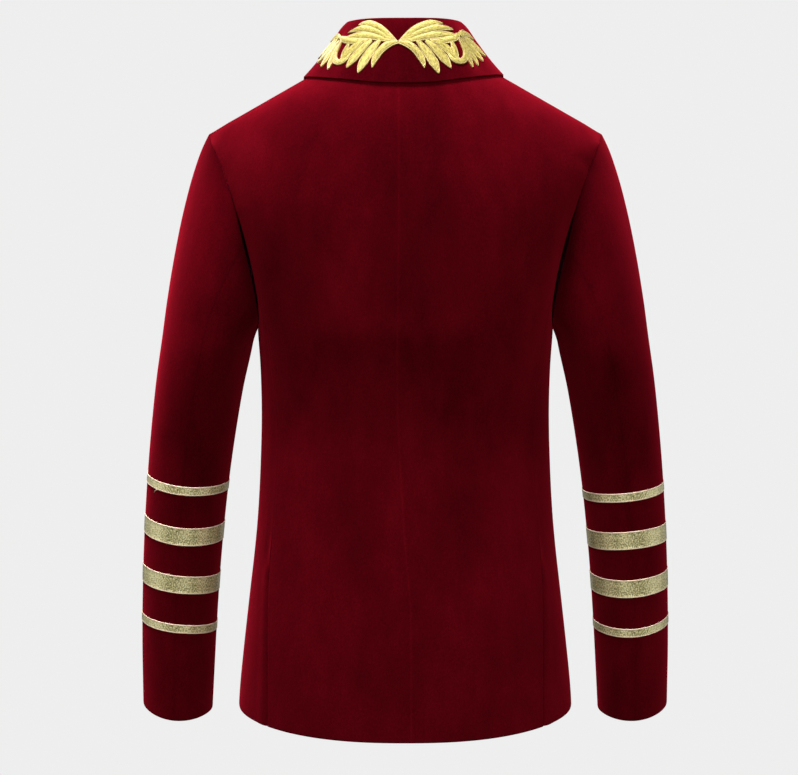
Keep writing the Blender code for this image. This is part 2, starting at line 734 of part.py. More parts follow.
def neck_stations(back, front, side):
    """Places along the collar from the centre back to the break: its seam, fold and outer edge."""
    (back_points, back_normals), (front_points, front_normals) = back, front
    half_width, fold_width = COLLAR_HALF_WIDTHS[side], FOLD_HALF_WIDTHS[side]
    neck_turns = back_turns(UPPER_BACK[-1], 1.0, side)
    centre = back_points[-1][0].x
    stations = []
    last = 2 * NECK_COLUMNS
    for k in range(last + 1):
        low, high = k // 2, (k + 1) // 2
        a = mix(asin(centre / fold_width), pi / 2, k / last)
        fold = Vector((fold_width * sin(a), NECK_CENTRE_Y + FOLD_HALF_DEPTH * cos(a),
                       mix(FOLD_BACK_Z, FOLD_SIDE_Z, sin(a) ** FOLD_DIP)))
        a = mix(asin(centre / half_width), pi / 2, k / last)
        edge_turn = turn_at(half_width * sin(a) / SHOULDER_HALF, True)
        edge_z = ring_height(edge_turn, half_width, COLLAR_HALF_DEPTH)
        seam = mix(back_points[-1][low], back_points[-1][high], 0.5)
        stations.append(dict(seam=seam, facing=mix(back_normals[-1][low], back_normals[-1][high], 0.5),
                             stand=fold - seam, start=(mix(neck_turns[low], neck_turns[high], 0.5), 1.0),
                             edge=(edge_turn, 1.0 if k == last else share_at(edge_turn, edge_z))))
    rows = LOWER + UPPER_FRONT
    for n, (over, deep, high, edge_x, edge_z) in enumerate(LAPEL_ROWS):
        r = len(rows) - 2 - n
        share = ease(1 - n / NARROWED_ROWS)
        narrowed = (COLLAR_HALF_WIDTHS[1] - half_width) * share
        over -= (FOLD_HALF_WIDTHS[1] - fold_width) * share
        edge_x -= narrowed
        edge_z += narrowed * SHOULDER_SLOPE
        edge_turn = bisect(lambda t: body(t, edge_z).x > edge_x, pi / 2, pi)
        stations.append(dict(seam=front_points[r][0], facing=front_normals[r][0], row=rows[r],
                             stand=Vector((over, deep, high)), start=(front_edge_turn(rows[r]), None),
                             edge=(edge_turn, edge_z)))
    return stations


def under_collar(station, t, lift):
    """The body surface under the collar, from the neck seam to the collar's outer edge."""
    (turn_a, place_a), (turn_b, place_b) = station["start"], station["edge"]
    fraction = mix(signed_breadth(turn_a), signed_breadth(turn_b), t)
    if "row" not in station:
        turn, place = turn_at(fraction, True), mix(place_a, place_b, t)
        return climb(turn, place), climb_normal(turn, place)
    row, turn = station["row"], turn_at(fraction, False)
    if row.share is None:
        z = mix(row.height, place_b, t)
        normal = body_normal(turn, z)
        return lapped(body(turn, z), normal, lift), normal
    share = mix(row.share, share_at(turn_b, place_b), t)
    return climb(turn, share), climb_normal(turn, share)


def collar_grids(stations, lift):
    """The collar's hidden and visible faces: up the stand, over the fold and down the fall."""
    hidden = []
    for station in stations:
        seam, facing = station["seam"], station["facing"]
        up = station["stand"].normalized()
        out = across(facing, up)
        station["mitre"] = (facing.normalized() + out).normalized()
        neck = station["stand"].length - FOLD_RADIUS
        line = [seam, seam + up * (neck / 2), seam + up * neck]
        for degrees in (60, 120, 180):
            a = radians(degrees)
            line.append(seam + up * (neck + FOLD_RADIUS * sin(a)) + out * (FOLD_RADIUS * (1 - cos(a))))
        fold = line[-1] - seam
        for t in FALL_STEPS:
            base, normal = under_collar(station, t, lift)
            line.append(base + fold * (1 - t) ** FALL_CURVE + normal * (FALL_CLEARANCE * ease(3 * t)))
        hidden.append(line)
    shown = []
    for k, line in enumerate(hidden):
        normals = line_normals(hidden, k)
        row = [p + n * WALL for p, n in zip(line, normals)]
        row[0] = line[0] - stations[k]["mitre"] * WALL
        shown.append(row)
    return hidden, shown


def line_normals(lines, k):
    """The visible side of a row of lines, from the neighbouring points."""
    last_k, last_i = len(lines) - 1, len(lines[k]) - 1
    normals = []
    for i in range(last_i + 1):
        if k == 0:
            sideways = Vector((1, 0, 0))
        else:
            sideways = lines[min(k + 1, last_k)][i] - lines[k - 1][i]
        onward = lines[k][min(i + 1, last_i)] - lines[k][max(i - 1, 0)]
        normals.append(sideways.cross(onward).normalized())
    return normals


def make_collar(name, hidden, shown, side, material):
    normals = [[(a - b).normalized() for a, b in zip(*pair)] for pair in zip(shown, hidden)]
    shifts = edge_shifts(hidden, normals)
    faces = [[[p + s for p, s in zip(*pair)] for pair in zip(grid, shifts)] for grid in (shown, hidden)]
    make_wall(name, mirrored(faces[0], side), mirrored(faces[1], side), material)


# Materials

def make_material(name, colour, roughness, metallic):
    material = bpy.data.materials.new(name)
    material.use_nodes = True
    shader = material.node_tree.nodes["Principled BSDF"]
    shader.inputs["Base Color"].default_value = colour
    shader.inputs["Roughness"].default_value = roughness
    shader.inputs["Metallic"].default_value = metallic
    return material


# Sleeve pieces and bands

def sleeve_part(name, surface, first, last, side, material):
    """One of the two lengthwise pieces of a sleeve, between two of its columns."""
    rings, normals, _ = surface
    count = len(rings[0])
    columns = [c % count for c in range(first, last + 1)]
    grid = [[ring[c] for c in columns] for ring in rings]
    facing = [[ring[c] for c in columns] for ring in normals]
    return make_panel(name, grid, facing, side, material)


def make_bands(surface, side_name, side, material):
    rings, normals, band_rows = surface
    for number, r in enumerate(band_rows, start=1):
        layers = []
        for height in (BAND_CLEARANCE + BAND_THICKNESS, BAND_CLEARANCE):
            layers.append([[p + n * height for p, n in zip(rings[i], normals[i])] for i in (r, r + 1)])
        outer, inner = (mirrored(layer, side) for layer in layers)
        make_wall(f"band_{side_name}_{number}", outer, inner, material, ring=True)


# Button

def make_button(material):
    """A covered dome button, turned from its profile and set on the left front."""
    turn = bisect(lambda t: body(t, BUTTON_Z).x > 0, pi / 2, pi + 0.2)
    facing = body_normal(turn, BUTTON_Z)
    seat = body(turn, BUTTON_Z) + facing * (LAP_LIFT + BUTTON_CLEARANCE)
    profile = ((0.0, BUTTON_HEIGHT), (0.45, 0.90 * BUTTON_HEIGHT), (0.80, 0.62 * BUTTON_HEIGHT),
               (1.0, 0.28 * BUTTON_HEIGHT), (0.93, 0.0), (0.0, 0.0))
    mesh = bpy.data.meshes.new("button_front")
    mesh.from_pydata([(r * BUTTON_RADIUS, 0, z) for r, z in profile], [], [(i, i + 1) for i in range(5)])
    mesh.materials.append(material)
    button = bpy.data.objects.new("button_front", mesh)
    JACKET.objects.link(button)
    screw = button.modifiers.new("turned", "SCREW")
    screw.steps = BUTTON_SEGMENTS
    screw.render_steps = BUTTON_SEGMENTS
    screw.use_merge_vertices = True
    screw.merge_threshold = 0.00005
    screw.use_normal_flip = True
    button.location = seat
    button.rotation_euler = facing.to_track_quat("Z", "Y").to_euler()


# Collar embroidery

def spray_leaves():
    """The start, heading, turn, lateness of the turn, length and width of each leaf, in metres and radians."""
    leaves = []
    for row in SPRAYS:
        count, over, up, step_over, step_up, heading, fan, turn, turn_step, late, length, growth, width = row
        for k in range(count):
            start = Vector((over + k * step_over, up + k * step_up)) / 1000
            leaves.append((start, radians(heading + k * fan), radians(turn + k * turn_step), late,
                           (length + k * growth) / 1000, width / 1000))
    return leaves


def leaf_place(leaf, t):
    """The point at share t of a leaf's middle line, and its heading there."""
    start, heading, turn, late, length, _ = leaf
    place = start.copy()
    for n in range(LEAF_SUM_STEPS):
        way = heading + turn * (t * (n + 0.5) / LEAF_SUM_STEPS) ** late
        place += Vector((cos(way), sin(way))) * (length * t / LEAF_SUM_STEPS)
    return place, heading + turn * t**late


def leaf_outline(leaf):
    """The outline and the middle line of one leaf, in metres, across and up."""
    left, right, middle = [], [], []
    places = max(ORNAMENT_POINTS, round(abs(degrees(leaf[2])) / LEAF_TURN_STEP))
    for i in range(places + 1):
        t = 1 - (1 - i / places) ** LEAF_SPACING
        p, way = leaf_place(leaf, t)
        normal = Vector((-sin(way), cos(way)))
        fullness = mix(LEAF_BASE, 1.0, sin(pi * t**LEAF_BELLY))
        half = leaf[5] / 2 * fullness * min(1.0, (1 - t) / LEAF_TIP_LENGTH) ** LEAF_TIP_ROUND
        left.append(p + normal * half)
        right.append(p - normal * half)
        if 0 < i < places:
            middle.append(p)
    return left[:-1] + [leaf_place(leaf, 1)[0]] + right[-2::-1], middle


def ornament_plan():
    """The leaves joined into one outline: points, their triangles and which points lie on the edge."""
    points, rings, middles = [], [], []
    for leaf in spray_leaves():
        outline, middle = leaf_outline(leaf)
        rings.append(list(range(len(points), len(points) + len(outline))))
        points += outline
        middles += middle
    points += middles
    found = delaunay_2d_cdt(points, [], rings, 1, 1e-5)
    spots, faces = found[0], [tuple(f) for f in found[2]]
    count = {}
    for face in faces:
        for i in range(3):
            edge = tuple(sorted((face[i], face[i - 1])))
            count[edge] = count.get(edge, 0) + 1
    rim = {p for edge, uses in count.items() if uses == 1 for p in edge}
    return spots, faces, rim


class CollarReader:
    """Finds points of the visible fall by distance from the centre seam, left positive, and height."""

    def __init__(self):
        self.lines, self.lengths = {}, {}

    def add(self, side, shown):
        first = len(shown[0]) - len(FALL_STEPS) - 1
        self.lines[side] = mirrored([row[first:] for row in shown], side)
        lengths = [0.0]
        for a, b in zip(self.lines[side], self.lines[side][1:]):
            lengths.append(lengths[-1] + (b[2] - a[2]).length)
        self.lengths[side] = lengths

    def climb_line(self, line, up):
        for a, b in zip(line[::-1], line[-2::-1]):
            length = (b - a).length
            if up <= length or b is line[0]:
                return mix(a, b, up / length)
            up -= length

    def point(self, over, up):
        side = 1 if over > 0 else -1
        lines, lengths = self.lines[side], self.lengths[side]
        k = next(n for n in range(len(lengths) - 1) if abs(over) < lengths[n + 1])
        t = (abs(over) - lengths[k]) / (lengths[k + 1] - lengths[k])
        return mix(self.climb_line(lines[k], up), self.climb_line(lines[k + 1], up), t)


def make_ornament(name, collar, side, material):
    """One spray of leaves: a padded solid with a flat edge, higher along the middle of each leaf."""
    spots, faces, rim = ornament_plan()
    low, high = [], []
    for i, spot in enumerate(spots):
        over = side * spot.x
        here = collar.point(over, spot.y)
        step = 0.002
        around = collar.point(over + step, spot.y) - collar.point(over - step, spot.y)
        upward = collar.point(over, spot.y + step) - collar.point(over, spot.y - step)
        normal = upward.cross(around).normalized()
        low.append(here + normal * ORNAMENT_LIFT)
        high.append(here + normal * (ORNAMENT_LIFT + (ORNAMENT_EDGE if i in rim else ORNAMENT_CROWN)))
    count = len(spots)
    solid = [face for face in faces] + [tuple(i + count for i in face) for face in faces]
    uses = {}
    for face in faces:
        for i in range(3):
            edge = (face[i - 1], face[i])
            uses.setdefault(tuple(sorted(edge)), []).append(edge)
    for edges in uses.values():
        if len(edges) == 1:
            a, b = edges[0]
            triangles(solid, a, b, b + count, a + count)
    return make_object(name, low + high, solid, material)


# Build

for item in list(bpy.data.objects):
    bpy.data.objects.remove(item, do_unlink=True)
JACKET = bpy.data.collections.new("tuxedo_jacket")
bpy.context.scene.collection.children.link(JACKET)

velvet = make_material("burgundy_velvet", VELVET, 0.85, 0.0)
thread = make_material("gold_thread", GOLD_THREAD, 0.45, 0.3)
braid = make_material("gold_braid", GOLD_BRAID, 0.4, 0.6)

collar_reader = CollarReader()
SIDES = (("left", 1, LEFT_SLEEVE, LAP_LIFT), ("right", -1, RIGHT_SLEEVE, LAP_SINK))
for side_name, side, sleeve, lift in SIDES:
    back, front, flank = back_grid(side), front_grid(lift), side_grid()
    stations = neck_stations(back, front, side)
    hidden, shown = collar_grids(stations, lift)
    for k in range(NECK_COLUMNS + 1):
        back[1][-1][k] = stations[2 * k]["mitre"]
    front[1][-1][0] = stations[2 * NECK_COLUMNS]["mitre"]
    for n in range(len(LAPEL_ROWS)):
        front[1][len(front[1]) - 2 - n][0] = stations[2 * NECK_COLUMNS + 1 + n]["mitre"]
    make_panel(f"back_{side_name}", *back, side, velvet)
    make_panel(f"side_{side_name}", *flank, side, velvet)
    make_panel(f"front_{side_name}", *front, side, velvet)
    make_collar(f"collar_{side_name}", hidden, shown, side, velvet)
    last = len(ARMHOLE_POINTS)
    sleeve_part(f"sleeve_under_{side_name}", sleeve, ELBOW_SEAM, FOREARM_SEAM, side, velvet)
    sleeve_part(f"sleeve_upper_{side_name}", sleeve, FOREARM_SEAM, last + ELBOW_SEAM, side, velvet)
    make_bands(sleeve, side_name, side, braid)
    collar_reader.add(side, shown)
make_button(velvet)
make_ornament("collar_embroidery_left", collar_reader, 1, thread)
make_ornament("collar_embroidery_right", collar_reader, -1, thread)
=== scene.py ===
"""Looks of the velvet tuxedo jacket: velvet panels with soft creases, braid bands, embroidery, button and stage."""
from functools import cache
from itertools import accumulate
from math import asin, copysign, cos, pi, radians, sin

import bmesh
import bpy
import numpy as np
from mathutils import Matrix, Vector


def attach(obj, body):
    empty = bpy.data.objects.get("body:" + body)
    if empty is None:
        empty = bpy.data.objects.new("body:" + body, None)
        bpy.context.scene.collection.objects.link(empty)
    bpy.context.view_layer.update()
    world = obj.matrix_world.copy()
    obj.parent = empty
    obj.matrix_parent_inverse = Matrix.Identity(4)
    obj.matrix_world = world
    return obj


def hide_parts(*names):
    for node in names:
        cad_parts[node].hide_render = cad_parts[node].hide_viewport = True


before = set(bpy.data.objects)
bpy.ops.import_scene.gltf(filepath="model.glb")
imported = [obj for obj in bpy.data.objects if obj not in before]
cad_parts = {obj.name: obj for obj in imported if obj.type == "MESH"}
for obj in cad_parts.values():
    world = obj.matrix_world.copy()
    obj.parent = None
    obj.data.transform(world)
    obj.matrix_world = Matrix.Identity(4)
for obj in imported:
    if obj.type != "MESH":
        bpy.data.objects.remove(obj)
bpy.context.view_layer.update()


def metres(rows):
    """A table that is written in millimetres."""
    return [tuple(value / 1000 for value in row) for row in rows]


# Jacket sizes, in metres, as in the solids
WALL = 0.0018
LAP_LIFT = 0.0014
LAP_SINK = -0.0012
NECK_WIDTH = 0.071
NECK_DEPTH = 0.054
NECK_CENTRE_Y = 0.004
NECK_POINT_Z = 0.008
SHOULDER_HALF = 0.215
SHOULDER_SLOPE = 0.563
SHOULDER_Y = -0.008
UNDERARM_Z = -0.284
NECK_DOME = 1.6
ROUND = 2.4
SHOULDER_ROUND = 3.5
ARCH_CENTRE = 2.5
ARCH_SIDE = 2.7
SHOULDER_TAPER = 1.15
BLADE_SWELL = 0.012
CHEST_SWELL = 0.008
BODY_SECTIONS = metres((
    (-740, 189, 121.5, 123.5), (-690, 186.2, 118, 121.5), (-605, 176.9, 110.3, 118.5), (-500, 165, 96, 112),
    (-400, 159.7, 88.5, 108.5), (-333, 160, 94.5, 115), (-284, 163, 104, 122),
))
HEM_BACK_Z = -0.723
HEM_SIDE_Z = -0.711
HEM_FRONT_Z = -0.729
BREAK_Z = -0.38
LAP_CORNER_Z = -0.398
VENT_SHUT_Z = -0.54
VENT_STEP_Z = -0.556
VENT_TOP_Z = -0.568
LOWER_ROWS = (-0.704, -0.69, -0.65, -0.608, VENT_TOP_Z, VENT_STEP_Z, VENT_SHUT_Z, -0.5, -0.46, -0.428,
              LAP_CORNER_Z, BREAK_Z, -0.35, -0.317, UNDERARM_Z)
CENTRE_DRIFT = metres((
    (-740, -6), (-680, -6), (-568, -5), (-524, -0.5), (-437, 5), (-351, 8.8), (-244, 8), (-140, 7.2), (50, 8),
))
SIDE_BACK_X = metres((
    (-740, 151.5), (-690, 150.8), (-566, 150), (-480, 143), (-400, 138.5), (-330, 143), (-284, 150),
))
SIDE_FRONT_TURN = radians(117)
VENT_DEPTH = 0.00235
VENT_LAP = 0.035
VENT_COLUMNS = (0.0015, 0.0032)
VENT_BEND_IN = 0.0008
VENT_FOLD_IN = 0.0002
ARMHOLE = metres((
    (-84, 13, -28), (-95, 25, -39), (-110, 36, -49), (-132, 45, -57), (-160, 50, -62), (-192, 50, -63),
    (-225, 48, -60), (-255, 43, -52), (-272, 35, -42), (-282, 21, -25),
))
SIDE_JOIN = 6
SHOULDER_ROWS = (0.35, 0.7)
ARMHOLE_BOTTOM_Z = -0.2855
ROLL_BREAK_X = 0.009
LAP_WIDTH = 0.02
LAP_EASE_X = (0.07, 0.025)
LAP_EASE_Z = (-0.345, -0.375)
CUTAWAY_TOP_Z = -0.56
CUTAWAY_X = 0.062
COLLAR_WIDTHS = {1: 0.1085, -1: 0.1045}
COLLAR_DEPTH = 0.0775
FOLD_WIDTHS = {1: 0.0605, -1: 0.0575}
FOLD_DEPTH = 0.0575
FOLD_BACK_Z = 0.0488
FOLD_SIDE_Z = 0.045
FOLD_RADIUS = 0.0015
FOLD_ANGLES = (radians(60), radians(120), radians(180))
FALL_CLEARANCE = 0.001
FALL_STEPS = (0.3, 0.62, 1.0)
FALL_CURVE = 1.3
FOLD_DIP = 4
NARROWED_ROWS = 5
COLLAR_WALL = 0.002
LAPEL_ROWS = metres((
    (-10.5, -1, 36.5, 110, -15.8), (-11.5, -3, 31.5, 112, -21), (-12, -6, 24, 113.8, -30.5),
    (-11.5, -8, 17.5, 115, -47), (-10.5, -8.5, 12.5, 115, -71), (-9.5, -8, 9, 113, -102),
    (-8.5, -7, 6.2, 108, -140), (-7.8, -6.2, 4.2, 100, -184), (-7.2, -5.5, 2.8, 90.5, -228),
    (-6.6, -5, 1.8, 79, -266), (-6.2, -4.6, 1.2, 69, -296), (-5.8, -4.2, 0.8, 56, -329),
    (-5.4, -3.8, 0.6, 40, -360), (-4.8, -3.4, 0.4, 21.5, -384),
))
SLEEVE_SECTIONS = metres((
    (-300, 268.5, 169, 127, 0), (-356, 277.2, 181.6, 122, -3), (-447, 287.5, 196.6, 112, -9),
    (-541, 294.7, 207.5, 104, -15), (-637, 298.7, 215.2, 98, -21), (-728, 299.5, 220.7, 94, -26),
))
SLEEVE_TILT = 0.1
CAP_STEPS = (0.0, 0.1, 0.24, 0.42, 0.62, 0.82)
CAP_START_PULL = 0.65
CAP_END_PULL = 0.9
CAP_LEAVE = Vector((0.42, 0, -0.85))
CAP_LEAVE_TOP = 0.08
CAP_LEAVE_SIDES = 0.15
CAP_LEAVE_DEPTH = 0.25
CAP_ARRIVE = Vector((0.13, 0, -1)).normalized()
SLEEVE_TURNS = (0, 13, 25, 38, 54, 72, 90, 108, 126, 142, 160, 180)
ELBOW_SEAM = 6
FOREARM_SEAM = 14
PLAIN_SLEEVE_ROWS = (-0.3, -0.345, -0.39, -0.428)
CUFF_ROWS = (-0.665, -0.7, -0.728)
CUFF_RISE = 0.006
# Width, then for each sleeve the height and how much higher the band lies on the outer and the inner side
BANDS = (
    (0.01, (-0.4606, 0.003, 0.0022), (-0.4677, 0.0008, -0.001)),
    (0.0205, (-0.5129, 0.0038, 0.002), (-0.517, -0.0018, -0.0012)),
    (0.0205, (-0.568, 0.002, -0.0018), (-0.573, 0.0008, 0.0032)),
    (0.01, (-0.6193, 0.0013, -0.0027), (-0.6245, 0.0038, 0.0048)),
)
BUTTON_Z = -0.414
BUTTON_RADIUS = 0.011
BUTTON_HEIGHT = 0.0065
# Collar embroidery: sprays of leaves that grow outwards from the middle of the collar, in millimetres and degrees.
# Columns: number of leaves, how late they turn and width; then, each with its step to the next leaf, the start
# across and up, the heading, the turn along the leaf and the length
SPRAYS = (
    (3, 1, 8.5, 2.4, 0.4, 44, -0.5, 42, -13, -50, 10, 68, 12),
    (1, 1, 9, 0.2, 0, 43, 0, 0, 0, -95, 0, 43, 0),
    (3, 1, 11, 22, 11, 45, -0.5, -45, 7, -40, 0, 42, -3),
    (1, 1, 8, 38, 0, 44, 0, -8, 0, 36, 0, 58, 0),
    (1, 1, 8, 66, 0, 42, 0, -86, 0, -28, 0, 22, 0),
    (1, 2, 7, 83, 0, 46, 0, -92, 0, -255, 0, 60, 0),
    (4, 1, 9.5, 83, 5, 46, 1.5, -88, 14, -14, 0, 36, -1),
    (1, 1, 10, 92, 0, 50, 0, 40, 0, -95, 0, 27, 0),
)


# Small helpers

TINY = 1e-6


def mix(a, b, t):
    return a + (b - a) * t


def ease(t):
    t = min(1.0, max(0.0, t))
    return t * t * (3 - 2 * t)


def hermite(t):
    """Shares of a curve's two ends and of the slopes there."""
    return 2 * t**3 - 3 * t**2 + 1, 3 * t**2 - 2 * t**3, t**3 - 2 * t**2 + t, t**3 - t**2


def read_table(rows, height, column):
    """A smooth curve through one column of a table, by the height in its first column."""
    rows = sorted(rows)
    last = len(rows) - 1
    i = next((n for n in range(last) if height < rows[n + 1][0]), last - 1)
    below, above = rows[i], rows[i + 1]
    step = above[0] - below[0]

    def slope(n):
        lower, upper = rows[max(n - 1, 0)], rows[min(n + 1, last)]
        return (upper[column] - lower[column]) / (upper[0] - lower[0]) * step

    a, b, c, d = hermite((height - below[0]) / step)
    return a * below[column] + b * above[column] + c * slope(i) + d * slope(i + 1)


def bisect(test, low, high):
    for _ in range(40):
        middle = (low + high) / 2
        if test(middle):
            low = middle
        else:
            high = middle
    return (low + high) / 2


def across(vector, along):
    return (vector - along * (vector.dot(along) / along.dot(along))).normalized()


# Body surface, as in the solids: the turn runs from 0 at the centre back to pi in front

def breadth(turn):
    return abs(sin(turn)) ** (2 / ROUND)


def signed_breadth(turn):
    return copysign(breadth(turn), sin(turn))


def turn_at(fraction, back):
    angle = copysign(asin(min(1.0, abs(fraction)) ** (ROUND / 2)), fraction)
    return angle if back else pi - angle


def ridge(fraction):
    x = SHOULDER_HALF * fraction
    outward = max(0.0, (x - NECK_WIDTH) / (SHOULDER_HALF - NECK_WIDTH))
    z = NECK_POINT_Z - SHOULDER_SLOPE * (x - NECK_WIDTH)
    if x < NECK_WIDTH:
        inward = 1 - (x / NECK_WIDTH) ** NECK_DOME
        z = NECK_POINT_Z + SHOULDER_SLOPE * NECK_WIDTH / NECK_DOME * inward
    return Vector((x, mix(NECK_CENTRE_Y, SHOULDER_Y, outward), z))


def arch(fraction):
    return mix(ARCH_CENTRE, ARCH_SIDE, fraction)


def body(turn, z):
    fraction = breadth(turn)
    rear = cos(turn) > 0
    level = min(z, UNDERARM_Z)
    half_width, behind, before = (read_table(BODY_SECTIONS, level, n) for n in (1, 2, 3))
    depth = behind if rear else -before
    if z <= UNDERARM_Z:
        return Vector((copysign(half_width * fraction, sin(turn)), depth * abs(cos(turn)) ** (2 / ROUND), z))
    top = ridge(fraction)
    rise = min(1.0, (z - UNDERARM_Z) / (top.z - UNDERARM_Z))
    bow = arch(fraction)
    lean = (1 - rise**bow) ** (1 / bow)
    square = mix(ROUND, SHOULDER_ROUND, rise)
    reach = (1 - fraction**square) ** (1 / square)
    swing = rise ** (bow / 2)
    swell = (BLADE_SWELL if rear else -CHEST_SWELL) * (1 - fraction**2)
    x = mix(half_width * fraction, top.x, rise**SHOULDER_TAPER)
    y = top.y + (depth * reach - top.y) * lean + swell * 2 * swing * (1 - swing**2) ** 0.5
    return Vector((copysign(x, sin(turn)), y, z))


def ring_height(turn, half_width, half_depth):
    def outside(z):
        p = body(turn, z)
        return (p.x / half_width) ** 2 + ((p.y - NECK_CENTRE_Y) / half_depth) ** 2 > 1
    return bisect(outside, UNDERARM_Z, ridge(breadth(turn)).z)


def rise_angle(turn, z):
    fraction = breadth(turn)
    rise = (z - UNDERARM_Z) / (ridge(fraction).z - UNDERARM_Z)
    return asin(min(1.0, rise) ** (arch(fraction) / 2))


@cache
def top_angle(turn):
    if ridge(breadth(turn)).x > NECK_WIDTH - TINY:
        return pi / 2
    return rise_angle(turn, ring_height(turn, NECK_WIDTH, NECK_DEPTH))


def climb(turn, share):
    fraction = breadth(turn)
    rise = sin(share * top_angle(turn)) ** (2 / arch(fraction))
    return body(turn, mix(UNDERARM_Z, ridge(fraction).z, rise))


def share_at(turn, z):
    return rise_angle(turn, z) / top_angle(turn)


TURN_STEP = 0.002
HEIGHT_STEP = 0.002
SHARE_STEP = 0.01
NEAR_TOP = 0.999


def square_to(surface, turn, place, step):
    around = surface(turn + TURN_STEP, place) - surface(turn - TURN_STEP, place)
    upward = surface(turn, place) - surface(turn, place - step)
    return upward.cross(around).normalized()


def body_normal(turn, z):
    return square_to(body, turn, z, HEIGHT_STEP)


def climb_normal(turn, share):
    if share > NEAR_TOP and ridge(breadth(turn)).x > NECK_WIDTH - TINY:
        return Vector((SHOULDER_SLOPE, 0, 1)).normalized()
    return square_to(climb, turn, share, SHARE_STEP)


def armhole_side(column, first, last):
    """Turn and height of each row of the armhole, with the turn sought between two limits."""
    return [(bisect(lambda t: abs(body(t, row[0]).y) > abs(row[column]), first, last), row[0]) for row in ARMHOLE]


ARMHOLE_TURNS = [(pi / 2, ridge(1.0).z), *armhole_side(1, 0.3, pi / 2 - 1e-4), (pi / 2, ARMHOLE_BOTTOM_Z),
                 *armhole_side(2, pi - 0.3, pi / 2 + 1e-4)[::-1]]
ARMHOLE_POINTS = [ridge(1.0)] + [body(turn, z) for turn, z in ARMHOLE_TURNS[1:]]
JOIN_BACK = SIDE_JOIN + 1
JOIN_FRONT = len(ARMHOLE_POINTS) - JOIN_BACK


# Sleeve surface, as in the solids
SLEEVE_ANGLES = [radians(t) for t in (*SLEEVE_TURNS, *(360 - t for t in SLEEVE_TURNS[-2:0:-1]))]


def sleeve_ring(height, outer_rise=0.0, inner_rise=0.0):
    points = []
    for a in SLEEVE_ANGLES:
        z = height + (outer_rise if cos(a) > 0 else inner_rise) * cos(a) ** 2
        outer, inner, depth, middle_y = (read_table(SLEEVE_SECTIONS, z, n) for n in (1, 2, 3, 4))
        cuff_rise = CUFF_RISE * ease((CUFF_ROWS[0] - z) / (CUFF_ROWS[0] - CUFF_ROWS[-1]))
        middle = Vector(((outer + inner) / 2, middle_y, z))
        edge = Vector((0, depth / 2 * sin(a), cuff_rise * cos(a) ** 2))
        points.append(middle + Vector((1, 0, SLEEVE_TILT)) * ((outer - inner) / 2 * cos(a)) + edge)
    return points


def cap_point(start, end, turn, t):
    reach = (end - start).length
    outward = CAP_LEAVE_TOP * cos(turn) + CAP_LEAVE_SIDES * sin(turn) ** 2
    leave = (CAP_LEAVE + Vector((outward, CAP_LEAVE_DEPTH * sin(turn), 0))).normalized()
    a, b, c, d = hermite(t)
    return start * a + end * b + leave * (c * reach * CAP_START_PULL) + CAP_ARRIVE * (d * reach * CAP_END_PULL)


def sleeve_surface(band_column):
    """The rings of a sleeve from its cap to the cuff, and the row at which each band starts."""
    first = sleeve_ring(SLEEVE_SECTIONS[0][0])
    rings = [[cap_point(s, e, a, t) for s, e, a in zip(ARMHOLE_POINTS, first, SLEEVE_ANGLES)] for t in CAP_STEPS]
    rings += [sleeve_ring(z) for z in PLAIN_SLEEVE_ROWS]
    band_rows = []
    for band in BANDS:
        band_rows.append(len(rings))
        z, *rises = band[band_column]
        rings += [sleeve_ring(z + half, *rises) for half in (band[0] / 2, -band[0] / 2)]
    return rings + [sleeve_ring(z) for z in CUFF_ROWS], band_rows


# Body rows, as in the solids

def hem_height(turn):
    return mix(HEM_BACK_Z if cos(turn) > 0 else HEM_FRONT_Z, HEM_SIDE_Z, sin(turn) ** 2)


def back_seam_turn(z):
    return turn_at(read_table(SIDE_BACK_X, z, 1) / read_table(BODY_SECTIONS, min(z, UNDERARM_Z), 1), True)


class Row:
    """A row of the body panels: at a height, a share of the way up to the neck and shoulder, or the hem."""

    def __init__(self, back, front, height=None, share=None):
        self.back, self.front, self.height, self.share = back, front, height, share

    def z(self, turn):
        return hem_height(turn) if self.height is None else self.height

    def point(self, turn):
        return body(turn, self.z(turn)) if self.share is None else climb(turn, self.share)

    def normal(self, turn):
        return body_normal(turn, self.z(turn)) if self.share is None else climb_normal(turn, self.share)


def upper_rows(seam, steps):
    """Rows from the underarm to the neck, along a side seam and some points of the armhole."""
    join_turn, join_z = ARMHOLE_TURNS[steps[0]]
    ends = [(mix(seam, join_turn, 0.5), (UNDERARM_Z + join_z) / 2)] + [ARMHOLE_TURNS[i] for i in steps]
    rows = [Row(turn, turn, share=share_at(turn, z)) for turn, z in ends]
    last = rows[-1]
    for t in SHOULDER_ROWS:
        turn = mix(last.back, pi / 2, t)
        rows.append(Row(turn, turn, share=mix(last.share, 1.0, t)))
    return rows + [Row(pi / 2, pi / 2, share=1.0)]


LOWER = [Row(back_seam_turn(HEM_BACK_Z), SIDE_FRONT_TURN)]
LOWER += [Row(back_seam_turn(z), SIDE_FRONT_TURN, z) for z in LOWER_ROWS]
UPPER_BACK = upper_rows(back_seam_turn(UNDERARM_Z), range(JOIN_BACK, 0, -1))
UPPER_FRONT = upper_rows(SIDE_FRONT_TURN, range(JOIN_FRONT, len(ARMHOLE_TURNS)))
NECK_COLUMNS = 5
SIDE_COLUMNS = 8
NECK_TOP = NECK_WIDTH / SHOULDER_HALF
NEAR_CENTRE = 0.02
FRONT_LIMITS = (pi / 2, pi + 0.2)


